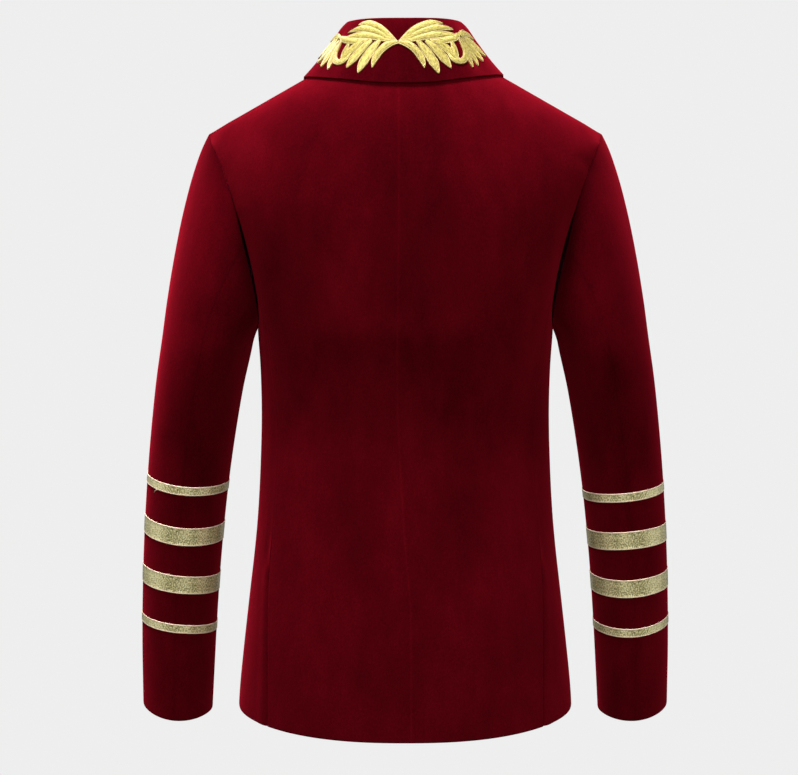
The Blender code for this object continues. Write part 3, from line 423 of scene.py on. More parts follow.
def back_turns(row, weight, side):
    scale = row.point(turn_at(NEAR_CENTRE, True)).x / NEAR_CENTRE
    centre = side * read_table(CENTRE_DRIFT, row.point(0.0).z, 1) / scale
    edge = breadth(row.back)
    shaped = [mix(centre, edge * NECK_TOP, sin(pi / 2 * k / NECK_COLUMNS)) for k in range(NECK_COLUMNS + 1)]
    shaped += [edge * mix(NECK_TOP, 1.0, k / SIDE_COLUMNS) for k in range(1, SIDE_COLUMNS + 1)]
    last = len(shaped) - 1
    return [turn_at(mix(mix(centre, edge, k / last), place, weight), True) for k, place in enumerate(shaped)]


def join_armhole(grid, order):
    points = [ARMHOLE_POINTS[i % len(ARMHOLE_POINTS)] for i in order]
    points[-1:-1] = [mix(points[-2], points[-1], t) for t in SHOULDER_ROWS]
    first = len(grid) - len(points)
    for r, point in enumerate(points, start=first):
        grid[r][-1] = point


def back_grid(side):
    rows = LOWER + UPPER_BACK
    grid = [[row.point(t) for t in back_turns(row, r / (len(rows) - 1), side)] for r, row in enumerate(rows)]
    join_armhole(grid, range(JOIN_BACK, -1, -1))
    return grid


def lap_amount(x, z):
    sideways = (LAP_EASE_X[0] - x) / (LAP_EASE_X[0] - LAP_EASE_X[1])
    downward = (LAP_EASE_Z[0] - z) / (LAP_EASE_Z[0] - LAP_EASE_Z[1])
    return ease(sideways) * ease(downward)


def front_edge_x(z):
    if z > BREAK_Z - TINY:
        return mix(ROLL_BREAK_X, NECK_WIDTH, (z - BREAK_Z) / (NECK_POINT_Z - BREAK_Z))
    swing = min(1.0, max(0.0, (CUTAWAY_TOP_Z - z) / (CUTAWAY_TOP_Z - HEM_FRONT_Z)))
    return mix(-LAP_WIDTH, CUTAWAY_X, 1 - (1 - swing**2) ** 0.5)


def front_edge_turn(row):
    if row.share is not None and row.share > NEAR_TOP:
        return turn_at(NECK_TOP, False)
    return bisect(lambda t: row.point(t).x > front_edge_x(row.point(t).z), *FRONT_LIMITS)


def lapped(point, normal, lift):
    return point + normal * (lift * lap_amount(point.x, point.z))


def front_grid(lift):
    grid = []
    for row in LOWER + UPPER_FRONT:
        inner, outer = front_edge_turn(row), row.front
        low = signed_breadth(inner)
        turns = [turn_at(mix(low, breadth(outer), k / SIDE_COLUMNS), False) for k in range(SIDE_COLUMNS + 1)]
        grid.append([lapped(row.point(t), row.normal(t), lift) for t in turns])
    join_armhole(grid, range(JOIN_FRONT, len(ARMHOLE_POINTS) + 1))
    return grid


def side_grid():
    loop = ARMHOLE_TURNS[JOIN_BACK:JOIN_FRONT + 1]
    last = len(loop) - 1
    places = []
    for row in LOWER[:-1]:
        turns = [mix(row.back, row.front, k / last) for k in range(last + 1)]
        places.append([(t, row.z(t)) for t in turns])
    base = places[-1]
    seams = [((turn, UNDERARM_Z), (mix(turn, end[0], 0.5), mix(UNDERARM_Z, end[1], 0.5)))
             for turn, end in ((LOWER[-1].back, loop[0]), (LOWER[-1].front, loop[-1]))]
    for step in (0, 1):
        row = [tuple(mix(a, b, (step + 1) / 3) for a, b in zip(*pair)) for pair in zip(base, loop)]
        row[0], row[-1] = (seam[step] for seam in seams)
        places.append(row)
    grid = [[body(t, z) for t, z in row] for row in places] + [ARMHOLE_POINTS[JOIN_BACK:JOIN_FRONT + 1]]
    for r, row in enumerate(LOWER):
        grid[r][0] = row.point(row.back)
    for r, row in enumerate(grid):
        seam, step = row[0], (row[1] - row[0]).normalized()
        row[:1] = [seam] + [seam + step * inset for inset in VENT_COLUMNS]
        level = LOWER[min(r, len(LOWER) - 1)]
        z = level.z(level.back)
        if z < VENT_SHUT_Z - TINY:
            sunk = seam - body_normal(*places[r][0]) * VENT_DEPTH
            row[:2] = sunk, sunk + step * VENT_BEND_IN
        if z < VENT_STEP_Z - TINY:
            far = turn_at(breadth(level.back) - VENT_LAP / read_table(BODY_SECTIONS, z, 1), True)
            row[:2] = level.point(far) - level.normal(far) * VENT_DEPTH, sunk + step * VENT_FOLD_IN
    return grid


# Collar, as in the solids

def neck_stations(back, front, side):
    """For each line across the collar: seam, its direction, stand, row, turns at the seam and the edge, edge place."""
    half_width, fold_width = COLLAR_WIDTHS[side], FOLD_WIDTHS[side]
    neck_turns = back_turns(UPPER_BACK[-1], 1.0, side)
    neck_normals = [climb_normal(t, 1.0) for t in neck_turns]
    centre = back[-1][0].x
    stations = []
    last = 2 * NECK_COLUMNS
    for k in range(last + 1):
        a = mix(asin(centre / fold_width), pi / 2, k / last)
        fold = Vector((fold_width * sin(a), NECK_CENTRE_Y + FOLD_DEPTH * cos(a),
                       mix(FOLD_BACK_Z, FOLD_SIDE_Z, sin(a) ** FOLD_DIP)))
        a = mix(asin(centre / half_width), pi / 2, k / last)
        edge_turn = turn_at(half_width * sin(a) / SHOULDER_HALF, True)
        place = 1.0
        if k < last:
            place = share_at(edge_turn, ring_height(edge_turn, half_width, COLLAR_DEPTH))
        seam, facing, turn = (mix(items[k // 2], items[(k + 1) // 2], 0.5)
                              for items in (back[-1], neck_normals, neck_turns))
        stations.append((seam, facing, fold - seam, None, turn, edge_turn, place))
    for n, (over, deep, high, edge_x, edge_z) in enumerate(LAPEL_ROWS):
        row, seam = (LOWER + UPPER_FRONT)[-2 - n], front[-2 - n][0]
        share = ease(1 - n / NARROWED_ROWS)
        narrowed = (COLLAR_WIDTHS[1] - half_width) * share
        over -= (FOLD_WIDTHS[1] - fold_width) * share
        edge_z += narrowed * SHOULDER_SLOPE
        edge_turn = bisect(lambda t: body(t, edge_z).x > edge_x - narrowed, pi / 2, pi)
        turn = front_edge_turn(row)
        stations.append((seam, row.normal(turn), Vector((over, deep, high)), row, turn, edge_turn, edge_z))
    return stations


def under_collar(row, start, end, place, t, lift):
    """A point under the fall, part of the way from its seam to its edge, and the direction there."""
    turn = turn_at(mix(signed_breadth(start), signed_breadth(end), t), row is None)
    if row and row.share is None:
        z = mix(row.height, place, t)
        normal = body_normal(turn, z)
        return lapped(body(turn, z), normal, lift), normal
    share = mix(row.share, share_at(end, place), t) if row else mix(1.0, place, t)
    return climb(turn, share), climb_normal(turn, share)


def collar_grids(stations, lift):
    """The collar's hidden and shown faces, line by line from the neck seam up, over the fold and down."""
    hidden, mitres = [], []
    for seam, facing, stand, *under in stations:
        up = stand.normalized()
        out = across(facing, up)
        mitres.append((facing.normalized() + out).normalized())
        neck = stand.length - FOLD_RADIUS
        line = [seam, seam + up * (neck / 2), seam + up * neck]
        for a in FOLD_ANGLES:
            line.append(seam + up * (neck + FOLD_RADIUS * sin(a)) + out * (FOLD_RADIUS * (1 - cos(a))))
        fold = line[-1] - seam
        for t in FALL_STEPS:
            base, normal = under_collar(*under, t, lift)
            line.append(base + fold * (1 - t) ** FALL_CURVE + normal * (FALL_CLEARANCE * ease(3 * t)))
        hidden.append(line)
    shown = [[p + n * COLLAR_WALL for p, n in zip(line, line_normals(hidden, k))] for k, line in enumerate(hidden)]
    for row, line, mitre in zip(shown, hidden, mitres):
        row[0] = line[0] - mitre * COLLAR_WALL
    return hidden, shown


def line_normals(lines, k):
    last_k, last_i = len(lines) - 1, len(lines[k]) - 1
    normals = []
    for i in range(last_i + 1):
        sideways = Vector((1, 0, 0))
        if k > 0:
            sideways = lines[min(k + 1, last_k)][i] - lines[k - 1][i]
        onward = lines[k][min(i + 1, last_i)] - lines[k][max(i - 1, 0)]
        normals.append(sideways.cross(onward).normalized())
    return normals


# Finer surfaces

def norms(vectors):
    return np.linalg.norm(vectors, axis=-1, keepdims=True)


def array(grid, side=1):
    points = np.array([[tuple(p) for p in row] for row in grid])
    points[..., 0] *= side
    return points


def places(count, fine, edge=()):
    """Fractional row numbers, fine in number for each step, with closer ones beside both ends."""
    even = np.linspace(0, count - 1, (count - 1) * fine + 1)
    near = np.array(edge)
    far = count - 1 - near
    inside = even[(even > near.max()) & (even < far.min())] if len(near) else even[1:-1]
    return np.unique(np.concatenate([[0.0], near, inside, far, [count - 1.0]]))


CORNER_SHARP = 0.2
CORNER_SOFT = 0.7


def spline(points, at):
    """Points of smooth curves through the rows of a grid, at fractional row numbers."""
    step = np.diff(points, axis=0)
    length = np.maximum(norms(step), 1e-7)
    unit = step / length
    slope = np.empty_like(points)
    slope[1:-1] = (unit[:-1] * length[1:] + unit[1:] * length[:-1]) / (length[:-1] + length[1:])
    slope[0] = 2 * unit[0] - slope[1]
    slope[-1] = 2 * unit[-1] - slope[-2]
    corner = np.sum(unit[:-1] * unit[1:], axis=2, keepdims=True)
    slope[1:-1] *= np.clip((corner - CORNER_SHARP) / (CORNER_SOFT - CORNER_SHARP), 0, 1)
    i = np.minimum(at.astype(int), len(points) - 2)
    a, b, c, d = hermite((at - i)[:, None, None])
    return points[i] * a + points[i + 1] * b + slope[i] * length[i] * c + slope[i + 1] * length[i] * d


def refine(grid, rows, columns):
    """A grid of points read at fractional row and column numbers."""
    return spline(spline(grid, rows).swapaxes(0, 1), columns).swapaxes(0, 1)


def outward(grid, axis=(0.0, 0.0)):
    """Unit directions square to a grid, away from the upright line through axis."""
    normal = np.cross(np.gradient(grid, axis=0), np.gradient(grid, axis=1))
    normal /= np.maximum(norms(normal), 1e-12)
    return normal * np.sign(np.sum(normal[..., :2] * (grid[..., :2] - np.array(axis))))


# Creases of the back (1) and the front (-1): from one place to another (across and up), half width and depth
CREASES = ((1, metres((
    (262, -395, 255, -455, 10, 1.6), (-255, -400, -262, -462, 11, 2), (190, -60, 176, -150, 11, 1.6),
    (-190, -60, -176, -150, 10, 1.8), (180, -150, 166, -275, 13, 3), (-180, -150, -164, -275, 13, 3.4),
    (205, -85, 192, -125, 6, 0.8), (-186, -90, -205, -118, 6, 1), (-208, -180, -200, -265, 6, 1.1),
    (205, -185, 214, -245, 6, 0.8), (-214, -318, -256, -390, 8, 1.2), (236, -345, 212, -392, 8, 0.9),
    (-232, -365, -262, -425, 7, 0.9), (262, -480, 268, -640, 8, 0.7), (105, -345, 138, -425, 13, 1.1),
    (-100, -355, -140, -430, 12, 1.3), (78, -455, 88, -680, 22, 1.6), (-74, -470, -92, -690, 20, 1.4),
    (30, -500, 34, -700, 18, 0.8), (-120, -150, -140, -260, 14, 1), (115, -140, 140, -250, 15, 1.2),
))), (-1, metres((
    (205, -180, 186, -300, 14, 2.2), (-205, -180, -186, -300, 14, 2.2), (215, -352, 262, -375, 7, 1.8),
    (-215, -348, -262, -378, 7, 1.6), (222, -392, 266, -402, 6, 1.4), (-224, -398, -268, -414, 6, 1.6),
    (22, -418, 88, -398, 10, 1.4), (-24, -412, -92, -384, 10, 1.4), (26, -432, 84, -492, 13, 1.3),
    (-30, -428, -80, -500, 12, 1.1), (104, -300, 132, -400, 14, 1.2), (-100, -310, -134, -395, 14, 1.2),
    (100, -500, 112, -680, 18, 1.4), (-98, -510, -116, -690, 18, 1.4),
))))
CREASE_END = 0.02
CREASE_FADE = 0.7
FACE_FADE = 0.02


def crease_depth(points):
    """How far each point sinks for the soft creases."""
    depth = np.zeros(points.shape[:2])
    place = points[..., ::2]
    for face, (x, z, end_x, end_z, width, amount) in ((face, row) for face, rows in CREASES for row in rows):
        line = np.array((end_x - x, end_z - z))
        t = np.clip((place - (x, z)) @ line / (line @ line), 0, 1)
        away = norms(place - ((x, z) + t[..., None] * line))[..., 0]
        fade = np.sin(pi * np.clip(t, CREASE_END, 1 - CREASE_END)) ** CREASE_FADE
        fade *= np.clip(face * points[..., 1] / FACE_FADE, 0, 1)
        depth += amount * fade * np.exp(-((away / width) ** 2))
    return depth


# Meshes
SHARP_ANGLE = radians(50)


def add_object(name, data):
    item = bpy.data.objects.new(name, data)
    bpy.context.scene.collection.objects.link(item)
    return item


def make_mesh(name, points, faces, materials, slots=None, uvs=None, merge=False):
    """An object, with each face's material number and each point's place in the cloth."""
    mesh = bpy.data.meshes.new(name)
    mesh.from_pydata(np.asarray(points).tolist(), [], faces)
    for material in materials:
        mesh.materials.append(material)
    if slots is not None:
        mesh.polygons.foreach_set("material_index", np.array(slots, dtype=np.int32))
    if uvs is not None:
        loops = np.empty(len(mesh.loops), dtype=np.int32)
        mesh.loops.foreach_get("vertex_index", loops)
        mesh.uv_layers.new(name="UVMap").data.foreach_set("uv", np.array(uvs)[loops].ravel())
    shape = bmesh.new()
    shape.from_mesh(mesh)
    if merge:
        bmesh.ops.remove_doubles(shape, verts=shape.verts, dist=TINY)
    bmesh.ops.recalc_face_normals(shape, faces=shape.faces)
    shape.to_mesh(mesh)
    shape.free()
    mesh.shade_smooth()
    mesh.set_sharp_from_angle(angle=SHARP_ANGLE)
    mesh.update()
    return add_object(name, mesh)


def arc_lengths(grid):
    """Lengths along the columns and the rows of a grid from its first corner."""
    flat = np.zeros((*grid.shape[:2], 2))
    flat[:, 1:, 0] = np.cumsum(norms(np.diff(grid, axis=1))[..., 0], axis=1)
    flat[1:, :, 1] = np.cumsum(norms(np.diff(grid, axis=0))[..., 0], axis=0)
    return flat


def number_grid(rows, columns, ring):
    """Point numbers of a grid, with the first column again at the end if it is a ring."""
    index = np.arange(rows * columns).reshape(rows, columns)
    return np.concatenate([index, index[:, :1]], axis=1) if ring else index


def quads(index):
    """Faces between the neighbours in a grid of point numbers."""
    corners = [index[:-1, :-1], index[:-1, 1:], index[1:, 1:], index[1:, :-1]]
    return np.stack(corners, axis=2).reshape(-1, 4)


def wall(name, outer, inner, materials, outer_slots=0, inner_slots=0, ring=False):
    """A closed wall between two like grids. The slots are material numbers: one for all faces of that grid, one for
    each column, or one for each row in an upright array."""
    size = outer[..., 0].size
    index = number_grid(*outer.shape[:2], ring)
    sheet = quads(index)
    rims = [index[0], index[-1]] + ([] if ring else [index[:, 0], index[:, -1]])
    sides = [np.stack([rim[:-1], rim[1:], rim[1:] + size, rim[:-1] + size], axis=1) for rim in rims]
    faces = np.concatenate([sheet, sheet[:, ::-1] + size, *sides])
    shape = (len(index) - 1, index.shape[1] - 1)
    slots = [np.broadcast_to(given, shape).ravel() for given in (outer_slots, inner_slots)]
    slots.append(np.zeros(len(faces) - 2 * len(sheet)))
    points = np.concatenate([outer.reshape(-1, 3), inner.reshape(-1, 3)])
    flat = arc_lengths(outer).reshape(-1, 2)
    slots, uvs = np.concatenate(slots), np.concatenate([flat, flat])
    return make_mesh(name, points, faces.tolist(), materials, slots, uvs)


# Materials

def fill(tree, node, inputs):
    """Sets a node's inputs, by name or number, and links those that are given as another node's output."""
    for key, value in inputs.items():
        if isinstance(value, bpy.types.NodeSocket):
            tree.links.new(value, node.inputs[key])
        else:
            node.inputs[key].default_value = value


def add_node(tree, kind, output, inputs, operation=None):
    """One output of a new node."""
    node = tree.nodes.new(kind)
    if operation:
        node.operation = operation
    fill(tree, node, inputs)
    return node.outputs[output]


def compute(tree, operation, *values):
    return add_node(tree, "ShaderNodeMath", 0, dict(enumerate(values)), operation)


def weighted(tree, *terms):
    """The sum of values, each times its weight."""
    total = 0.0
    for value, weight in terms:
        total = compute(tree, "MULTIPLY_ADD", value, weight, total)
    return total


def mapped(tree, space, **mapping):
    """Object or UV coordinates, scaled or turned."""
    place = add_node(tree, "ShaderNodeTexCoord", space, {})
    return add_node(tree, "ShaderNodeMapping", "Vector", {"Vector": place, **mapping})


def noise(tree, space, scale, detail, stretch):
    """Noise with so many grains to the metre, stretched along the axes."""
    inputs = {"Vector": mapped(tree, space, Scale=stretch), "Scale": scale, "Detail": detail}
    return add_node(tree, "ShaderNodeTexNoise", "Fac", inputs)


def waves(tree, period, angle, distortion):
    """Fine parallel ridges, so many metres apart and turned by so many degrees."""
    inputs = {"Vector": mapped(tree, "UV", Rotation=(0, 0, radians(angle))), "Scale": pi / (10 * period),
              "Distortion": distortion, "Detail Scale": 2.0}
    return add_node(tree, "ShaderNodeTexWave", "Fac", inputs)


def ramp(tree, fac, stops):
    node = tree.nodes.new("ShaderNodeValToRGB")
    while len(node.color_ramp.elements) < len(stops):
        node.color_ramp.elements.new(0.5)
    for element, (position, colour) in zip(node.color_ramp.elements, stops):
        element.position = position
        element.color = (*colour, 1)
    fill(tree, node, {"Fac": fac})
    return node.outputs["Color"]


def bump(tree, height, distance, strength, **under):
    inputs = {"Strength": strength, "Distance": distance, "Height": height, **under}
    return add_node(tree, "ShaderNodeBump", "Normal", inputs)


def new_material(name):
    material = bpy.data.materials.new(name)
    material.use_nodes = True
    return material, material.node_tree


# Velvet's noises: grains to the metre, detail and stretch; the lint's spacing and size; and the colours of the pile
PATCHES = (9, 3, (1.3, 1.3, 0.7))
CRUSH = (70, 3, (1, 1, 0.45))
NAP = (750, 2, (1, 1, 0.5))
LINT_SCALE = 14.0
LINT_SIZE = 0.0006
PILE = ((0.3, (0.018, 0.0002, 0.001)), (0.5, (0.044, 0.0005, 0.002)), (0.7, (0.074, 0.0012, 0.0036)),
        (1.0, (0.3, 0.1, 0.09)))


def velvet_material():
    """Deep red pile: crushed patches, a fine nap that runs down, painted shade and highlight from the 'seam' marks,
    and specks of lint.
    """
    material, tree = new_material("velvet")
    patches, crush, nap = (noise(tree, "Object", *row) for row in (PATCHES, CRUSH, NAP))
    # The 'seam' attribute holds the painted shade and highlight of each velvet piece
    seam = tree.nodes.new("ShaderNodeAttribute")
    seam.attribute_name = "seam"
    place = add_node(tree, "ShaderNodeTexCoord", "Object", {})
    lint = add_node(tree, "ShaderNodeTexVoronoi", "Distance", {"Vector": place, "Scale": LINT_SCALE})
    speck = compute(tree, "LESS_THAN", lint, LINT_SIZE * LINT_SCALE)
    shade = weighted(tree, (patches, 0.55), (crush, 0.15), (nap, 0.3), (seam.outputs["Fac"], 0.16), (speck, 0.6))
    fill(tree, tree.nodes["Principled BSDF"], {
        "Base Color": ramp(tree, shade, PILE),
        "Normal": bump(tree, nap, 0.0005, 0.5, Normal=bump(tree, crush, 0.001, 0.35)),
        "Roughness": 0.95, "Specular IOR Level": 0.0,
        "Sheen Weight": 0.28, "Sheen Roughness": 0.55, "Sheen Tint": (0.8, 0.018, 0.045, 1),
    })
    return material


def woven_material(name, ridges, noises, stops, relief, finish):
    """Fine ridges and noise in a surface's own coordinates. ridges: weight, period, angles (one or two) and
    distortion. noises: weight, grains to the metre, detail and stretch. relief: depth, strength and whether the
    ridges alone make it. finish: metallic, roughness and specular level."""
    material, tree = new_material(name)
    weight, period, angles, distortion = ridges
    lines = [waves(tree, period, angle, distortion) for angle in angles]
    lines = lines[0] if len(lines) == 1 else compute(tree, "MAXIMUM", *lines)
    shade = weighted(tree, (lines, weight), *((noise(tree, "UV", *size), share) for share, *size in noises))
    depth, strength, ridges_alone = relief
    fill(tree, tree.nodes["Principled BSDF"], {
        "Base Color": ramp(tree, shade, stops),
        "Normal": bump(tree, lines if ridges_alone else shade, depth, strength),
        **dict(zip(("Metallic", "Roughness", "Specular IOR Level"), finish)),
    })
    return material


def cord_material(name, low, high):
    """Twisted cord, used along the braid's edges and round the leaves."""
    return woven_material(name, (0.45, 0.0009, (50,), 0.3), ((0.55, 900, 2, (1, 1, 1)),), ((0.25, low), (0.6, high)),
                          (0.0003, 0.6, True), (0.2, 0.45, 0.5))


VELVET = velvet_material()
# Dark wine satin with a fine twill and slightly uneven sheen
LINING = woven_material(
    "lining", (0.3, 0.0008, (60,), 0.4), ((0.7, 30, 2, (1, 0.3, 1)),),
    ((0.3, (0.04, 0.002, 0.006)), (0.65, (0.09, 0.005, 0.016))), (0.0002, 0.4, True), (0, 0.42, 0.25))
# Woven metallic braid: fine twill ribs both ways, with threads that catch the light unevenly
BRAID = woven_material(
    "braid", (0.1, 0.0011, (35, -35), 0.6), ((0.55, 740, 3, (1, 0.7, 1)), (0.35, 34, 2, (1, 0.3, 1))),
    ((0.41, (0.085, 0.08, 0.035)), (0.49, (0.48, 0.42, 0.17)), (0.58, (1.0, 0.92, 0.52))),
    (0.0004, 0.7, False), (0.5, 0.32, 0.5))
# Gold satin stitches that run slantwise over each leaf, with darker gaps between some of them
THREAD = woven_material(
    "thread", (0.3, 0.0007, (68,), 0.8), ((0.7, 480, 3, (1.0, 0.6, 1)),),
    ((0.4, (0.1, 0.055, 0.004)), (0.47, (0.31, 0.235, 0.03)), (0.56, (0.5, 0.43, 0.1))),
    (0.0004, 0.7, False), (0.25, 0.42, 0.5))
CORD = cord_material("cord", (0.3, 0.21, 0.07), (0.54, 0.43, 0.18))
HOLE_CORD = cord_material("hole_cord", (0.03, 0.001, 0.004), (0.085, 0.004, 0.012))
BRAID_CORD = cord_material("braid_cord", (0.52, 0.36, 0.24), (0.86, 0.68, 0.5))
# Dark thread at the foot of each leaf: painted shade where the leaf meets the velvet
THREAD_EDGE_SHADE = cord_material("thread_edge_shade", (0.1, 0.045, 0.01), (0.24, 0.13, 0.03))
CLOTH = (VELVET, LINING)


def join_pieces(parts, name):
    bpy.ops.object.select_all(action="DESELECT")
    for item in parts:
        item.select_set(True)
    bpy.context.view_layer.objects.active = parts[0]
    bpy.ops.object.join()
    parts[0].name = name
    return parts[0]


def finish(item, slot, nodes, flat=None, area=None, held="hung", rests_on=()):
    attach(item, "root")
    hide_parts(*nodes)
    return item


TUBE_SIDES = 8
TUBE_HEIGHT = 0.7
TUBE_UV = 0.0005


def cord_tube(name, centres, normals, radius, material, closed=False):
    """A slightly flattened cord through a line of points on a surface with those normals."""
    centres, normals = np.array(centres), np.array(normals)
    if closed:
        along = np.roll(centres, -1, axis=0) - np.roll(centres, 1, axis=0)
    else:
        along = np.gradient(centres, axis=0)
    beside = np.cross(along / norms(along), normals)
    turns = np.linspace(0, 2 * pi, TUBE_SIDES + 1)[:-1, None]
    ring = beside[:, None] * np.cos(turns) + normals[:, None] * (TUBE_HEIGHT * np.sin(turns))
    points = centres[:, None] + ring * np.broadcast_to(radius, len(centres))[:, None, None]
    run = np.append(0, np.cumsum(norms(np.diff(centres, axis=0))))
    uvs = np.stack(np.broadcast_arrays(run[:, None], turns[:, 0] * TUBE_UV), axis=2).reshape(-1, 2)
    index = number_grid(len(centres), TUBE_SIDES, True)
    faces = quads(np.concatenate([index, index[:1]]) if closed else index).tolist()
    if not closed:
        faces += index[[0, -1], :-1].tolist()
    return make_mesh(name, points.reshape(-1, 3), faces, (material,), uvs=uvs)


# Velvet pieces: closer rows beside a seam, how the cloth dips there, and the painted shade and highlight on the velvet
SEAM_ROLL = (0.02, 0.06, 0.14)
SEAM_DIP = 0.0002
SEAM_WIDTH = 0.0022
# Painted shade at the head of each sleeve, deeper on the right, and the heights between which that fades
SLEEVE_SHADE = {"left": -0.4, "right": -0.9}
SLEEVE_SHADE_END = -0.5
SLEEVE_SHADE_FULL = -0.25
# Painted shade over the collar
COLLAR_SHADE = -0.9
# Painted highlight down the centre back seam, and its width
CENTRE_HIGHLIGHT = 0.5
CENTRE_WIDTH = 0.0012
# Painted shade along the other seams and edges, and painted shadow on each sleeve along its armhole
SEAM_SHADE = 0.35
SEAM_SHADE_WIDTH = 0.004
ARM_SHADE = 1.0
ARM_SHADE_WIDTH = 0.013
# How the collar's painted shade is full over its back and fades towards the front
COLLAR_SHADE_DEPTH = 0.06
COLLAR_SHADE_FRONT = 0.6
# How far up the velvet is turned in behind the hem and the cuffs, and the middle of the left sleeve
HEM_TURNED = 0.035
CUFF_TURNED = 0.04
SLEEVE_AXIS = (0.24, -0.01)
# An edge this close to the middle on average is the centre seam
NEAR_SEAM = 0.01


def edge_distances(grid):
    """How far each point is from the first and last column and row, along the cloth."""
    along, upward = np.moveaxis(arc_lengths(grid), 2, 0)
    return along, along[:, -1:] - along, upward, upward[-1:] - upward


def painted_shading(grid, distances, hand):
    """Painted shade along seams, along a sleeve's armhole and over its head, and a painted highlight down the centre
    seam. Only a sleeve gives its hand.
    """
    marks = np.zeros(grid.shape[:2])
    for distance, edge in zip(distances, (grid[:, 0], grid[:, -1])):
        if np.abs(edge[:, 0]).mean() < NEAR_SEAM:
            marks += CENTRE_HIGHLIGHT * np.exp(-((distance / CENTRE_WIDTH) ** 2))
        else:
            marks -= SEAM_SHADE * np.exp(-distance / SEAM_SHADE_WIDTH)
    if hand:
        marks -= ARM_SHADE * np.exp(-distances[2] / ARM_SHADE_WIDTH)
        # Painted shade over the sleeve's head, fading downwards
        fade = np.clip((grid[..., 2] - SLEEVE_SHADE_END) / (SLEEVE_SHADE_FULL - SLEEVE_SHADE_END), 0, 1)
        marks += SLEEVE_SHADE[hand] * fade
    return marks


# Stores a piece's painted shade and highlight as its 'seam' attribute
def paint_shading(item, marks):
    layer = item.data.attributes.new("seam", "FLOAT", "POINT")
    layer.data.foreach_set("value", np.tile(marks.ravel(), 2))


def cloth(name, coarse, rows, columns, axis=(0.0, 0.0), turned=HEM_TURNED, hand=None):
    """A velvet wall on a finer grid, with creases, edges that roll into the seams and a lining inside."""
    grid = refine(coarse, rows, columns)
    normal = outward(grid, axis)
    distances = edge_distances(grid)
    dip = SEAM_DIP * (1 - np.clip(np.minimum.reduce(distances) / SEAM_WIDTH, 0, 1)) ** 2
    outer = grid - normal * (dip + crease_depth(grid))[..., None]
    lined = outer[:-1, :, 2].mean(axis=1, keepdims=True) >= outer[..., 2].min() + turned
    item = wall(name, outer, outer - normal * WALL, CLOTH, inner_slots=lined)
    # Painted shade and highlight on the velvet
    paint_shading(item, painted_shading(grid, distances, hand))
    return item


SIDES = (("left", 1, 1, LAP_LIFT), ("right", -1, 2, LAP_SINK))
FLAT = {
    "back": ((0.225, 0.76), 0.134), "side": ((0.16, 0.45), 0.06), "front": ((0.235, 0.76), 0.142),
    "collar": ((0.105, 0.56), 0.042), "sleeve_under": ((0.16, 0.56), 0.07),
    "sleeve_upper": ((0.23, 0.68), 0.13),
}
COLLAR_FINE = 6
jacket = {}
collars = {}
sleeves = {}
for hand, side, band_column, lift in SIDES:
    back, front = back_grid(side), front_grid(lift)
    hidden, shown = collar_grids(neck_stations(back, front, side), lift)
    rings, band_rows = sleeve_surface(band_column)
    sleeves[hand] = (array(rings, side), band_rows)
    count = len(rings[0])
    under, upper = ([[ring[c % count] for c in range(first - 1, last + 2)] for ring in rings]
                    for first, last in ((ELBOW_SEAM, FOREARM_SEAM), (FOREARM_SEAM, count + ELBOW_SEAM)))
    # Name, grid, and how many rows and columns each of its own is divided into
    panels = (("back", back, 6, 6), ("front", front, 6, 8), ("side", side_grid(), 6, 6),
              ("sleeve_under", under, 5, 5), ("sleeve_upper", upper, 5, 5))
    for name, coarse, fine_rows, fine_columns in panels:
        spare, options = 0, {}
        if "sleeve" in name:
            axis = (SLEEVE_AXIS[0] * side, SLEEVE_AXIS[1])
            spare, options = 1, dict(axis=axis, turned=CUFF_TURNED, hand=hand)
        rows = places(len(coarse), fine_rows, SEAM_ROLL)
        columns = places(len(coarse[0]) - 2 * spare, fine_columns, SEAM_ROLL) + spare
        jacket[f"{name}_{hand}"] = cloth(f"velvet_{name}_{hand}", array(coarse, side), rows, columns, **options)
    rows, columns = places(len(shown), 4, SEAM_ROLL), places(len(shown[0]), COLLAR_FINE)
    outer, inner = (refine(array(grid, side), rows, columns) for grid in (shown, hidden))
    collars[side] = outer
    item = jacket[f"collar_{hand}"] = wall(f"velvet_collar_{hand}", outer, inner, CLOTH)
    # Painted shade over the back of the collar
    paint_shading(item, COLLAR_SHADE * np.clip(outer[..., 1] / COLLAR_SHADE_DEPTH + COLLAR_SHADE_FRONT, 0, 1))

for node, item in jacket.items():
    flat, area = FLAT[node.rsplit("_", 1)[0]]
    finish(item, "burgundy_velvet", [node], flat, area)

# Braid bands: places in from an edge, and heights over the sleeve there, in metres
BRAID_EDGE = np.array(((0.0, 0.0002), (0.0002, 0.00055), (0.0006, 0.0007), (0.001, 0.00062), (0.0013, 0.0005)))
BRAID_INSIDE = 5
BRAID_LIFT = 0.00012
BRAID_FACE = 0.00055
BRAID_LENGTH = 0.33
BRAID_FINE = 14
# The loose thread end below the left sleeve's upper band: half its thickness, how much of that it loses, its points,
# where it starts and how far it runs in rows and columns of the sleeve, and its lift at the ends and in between
LOOSE_RADIUS = 0.00035
LOOSE_TAPER = 0.4
LOOSE_POINTS = 9
LOOSE_START = (0.97, 5.75)
LOOSE_RUN = (0.16, -0.4)
LOOSE_LIFT = 0.0005
LOOSE_ARCH = 0.0012


def loose_thread(wrapped, row, middle):
    t = np.linspace(0, 1, LOOSE_POINTS)
    start, run = np.array(LOOSE_START) + (row, 0), np.array(LOOSE_RUN)
    path = np.array([refine(wrapped, *(start + run * p)[:, None])[0, 0] for p in t])
    away = (path - middle) * (1, 1, 0)
    away /= norms(away)
    lift = LOOSE_LIFT + LOOSE_ARCH * np.sin(pi * t)
    return cord_tube("hair", path + away * lift[:, None], away, LOOSE_RADIUS * (1 - LOOSE_TAPER * t), BRAID_CORD)


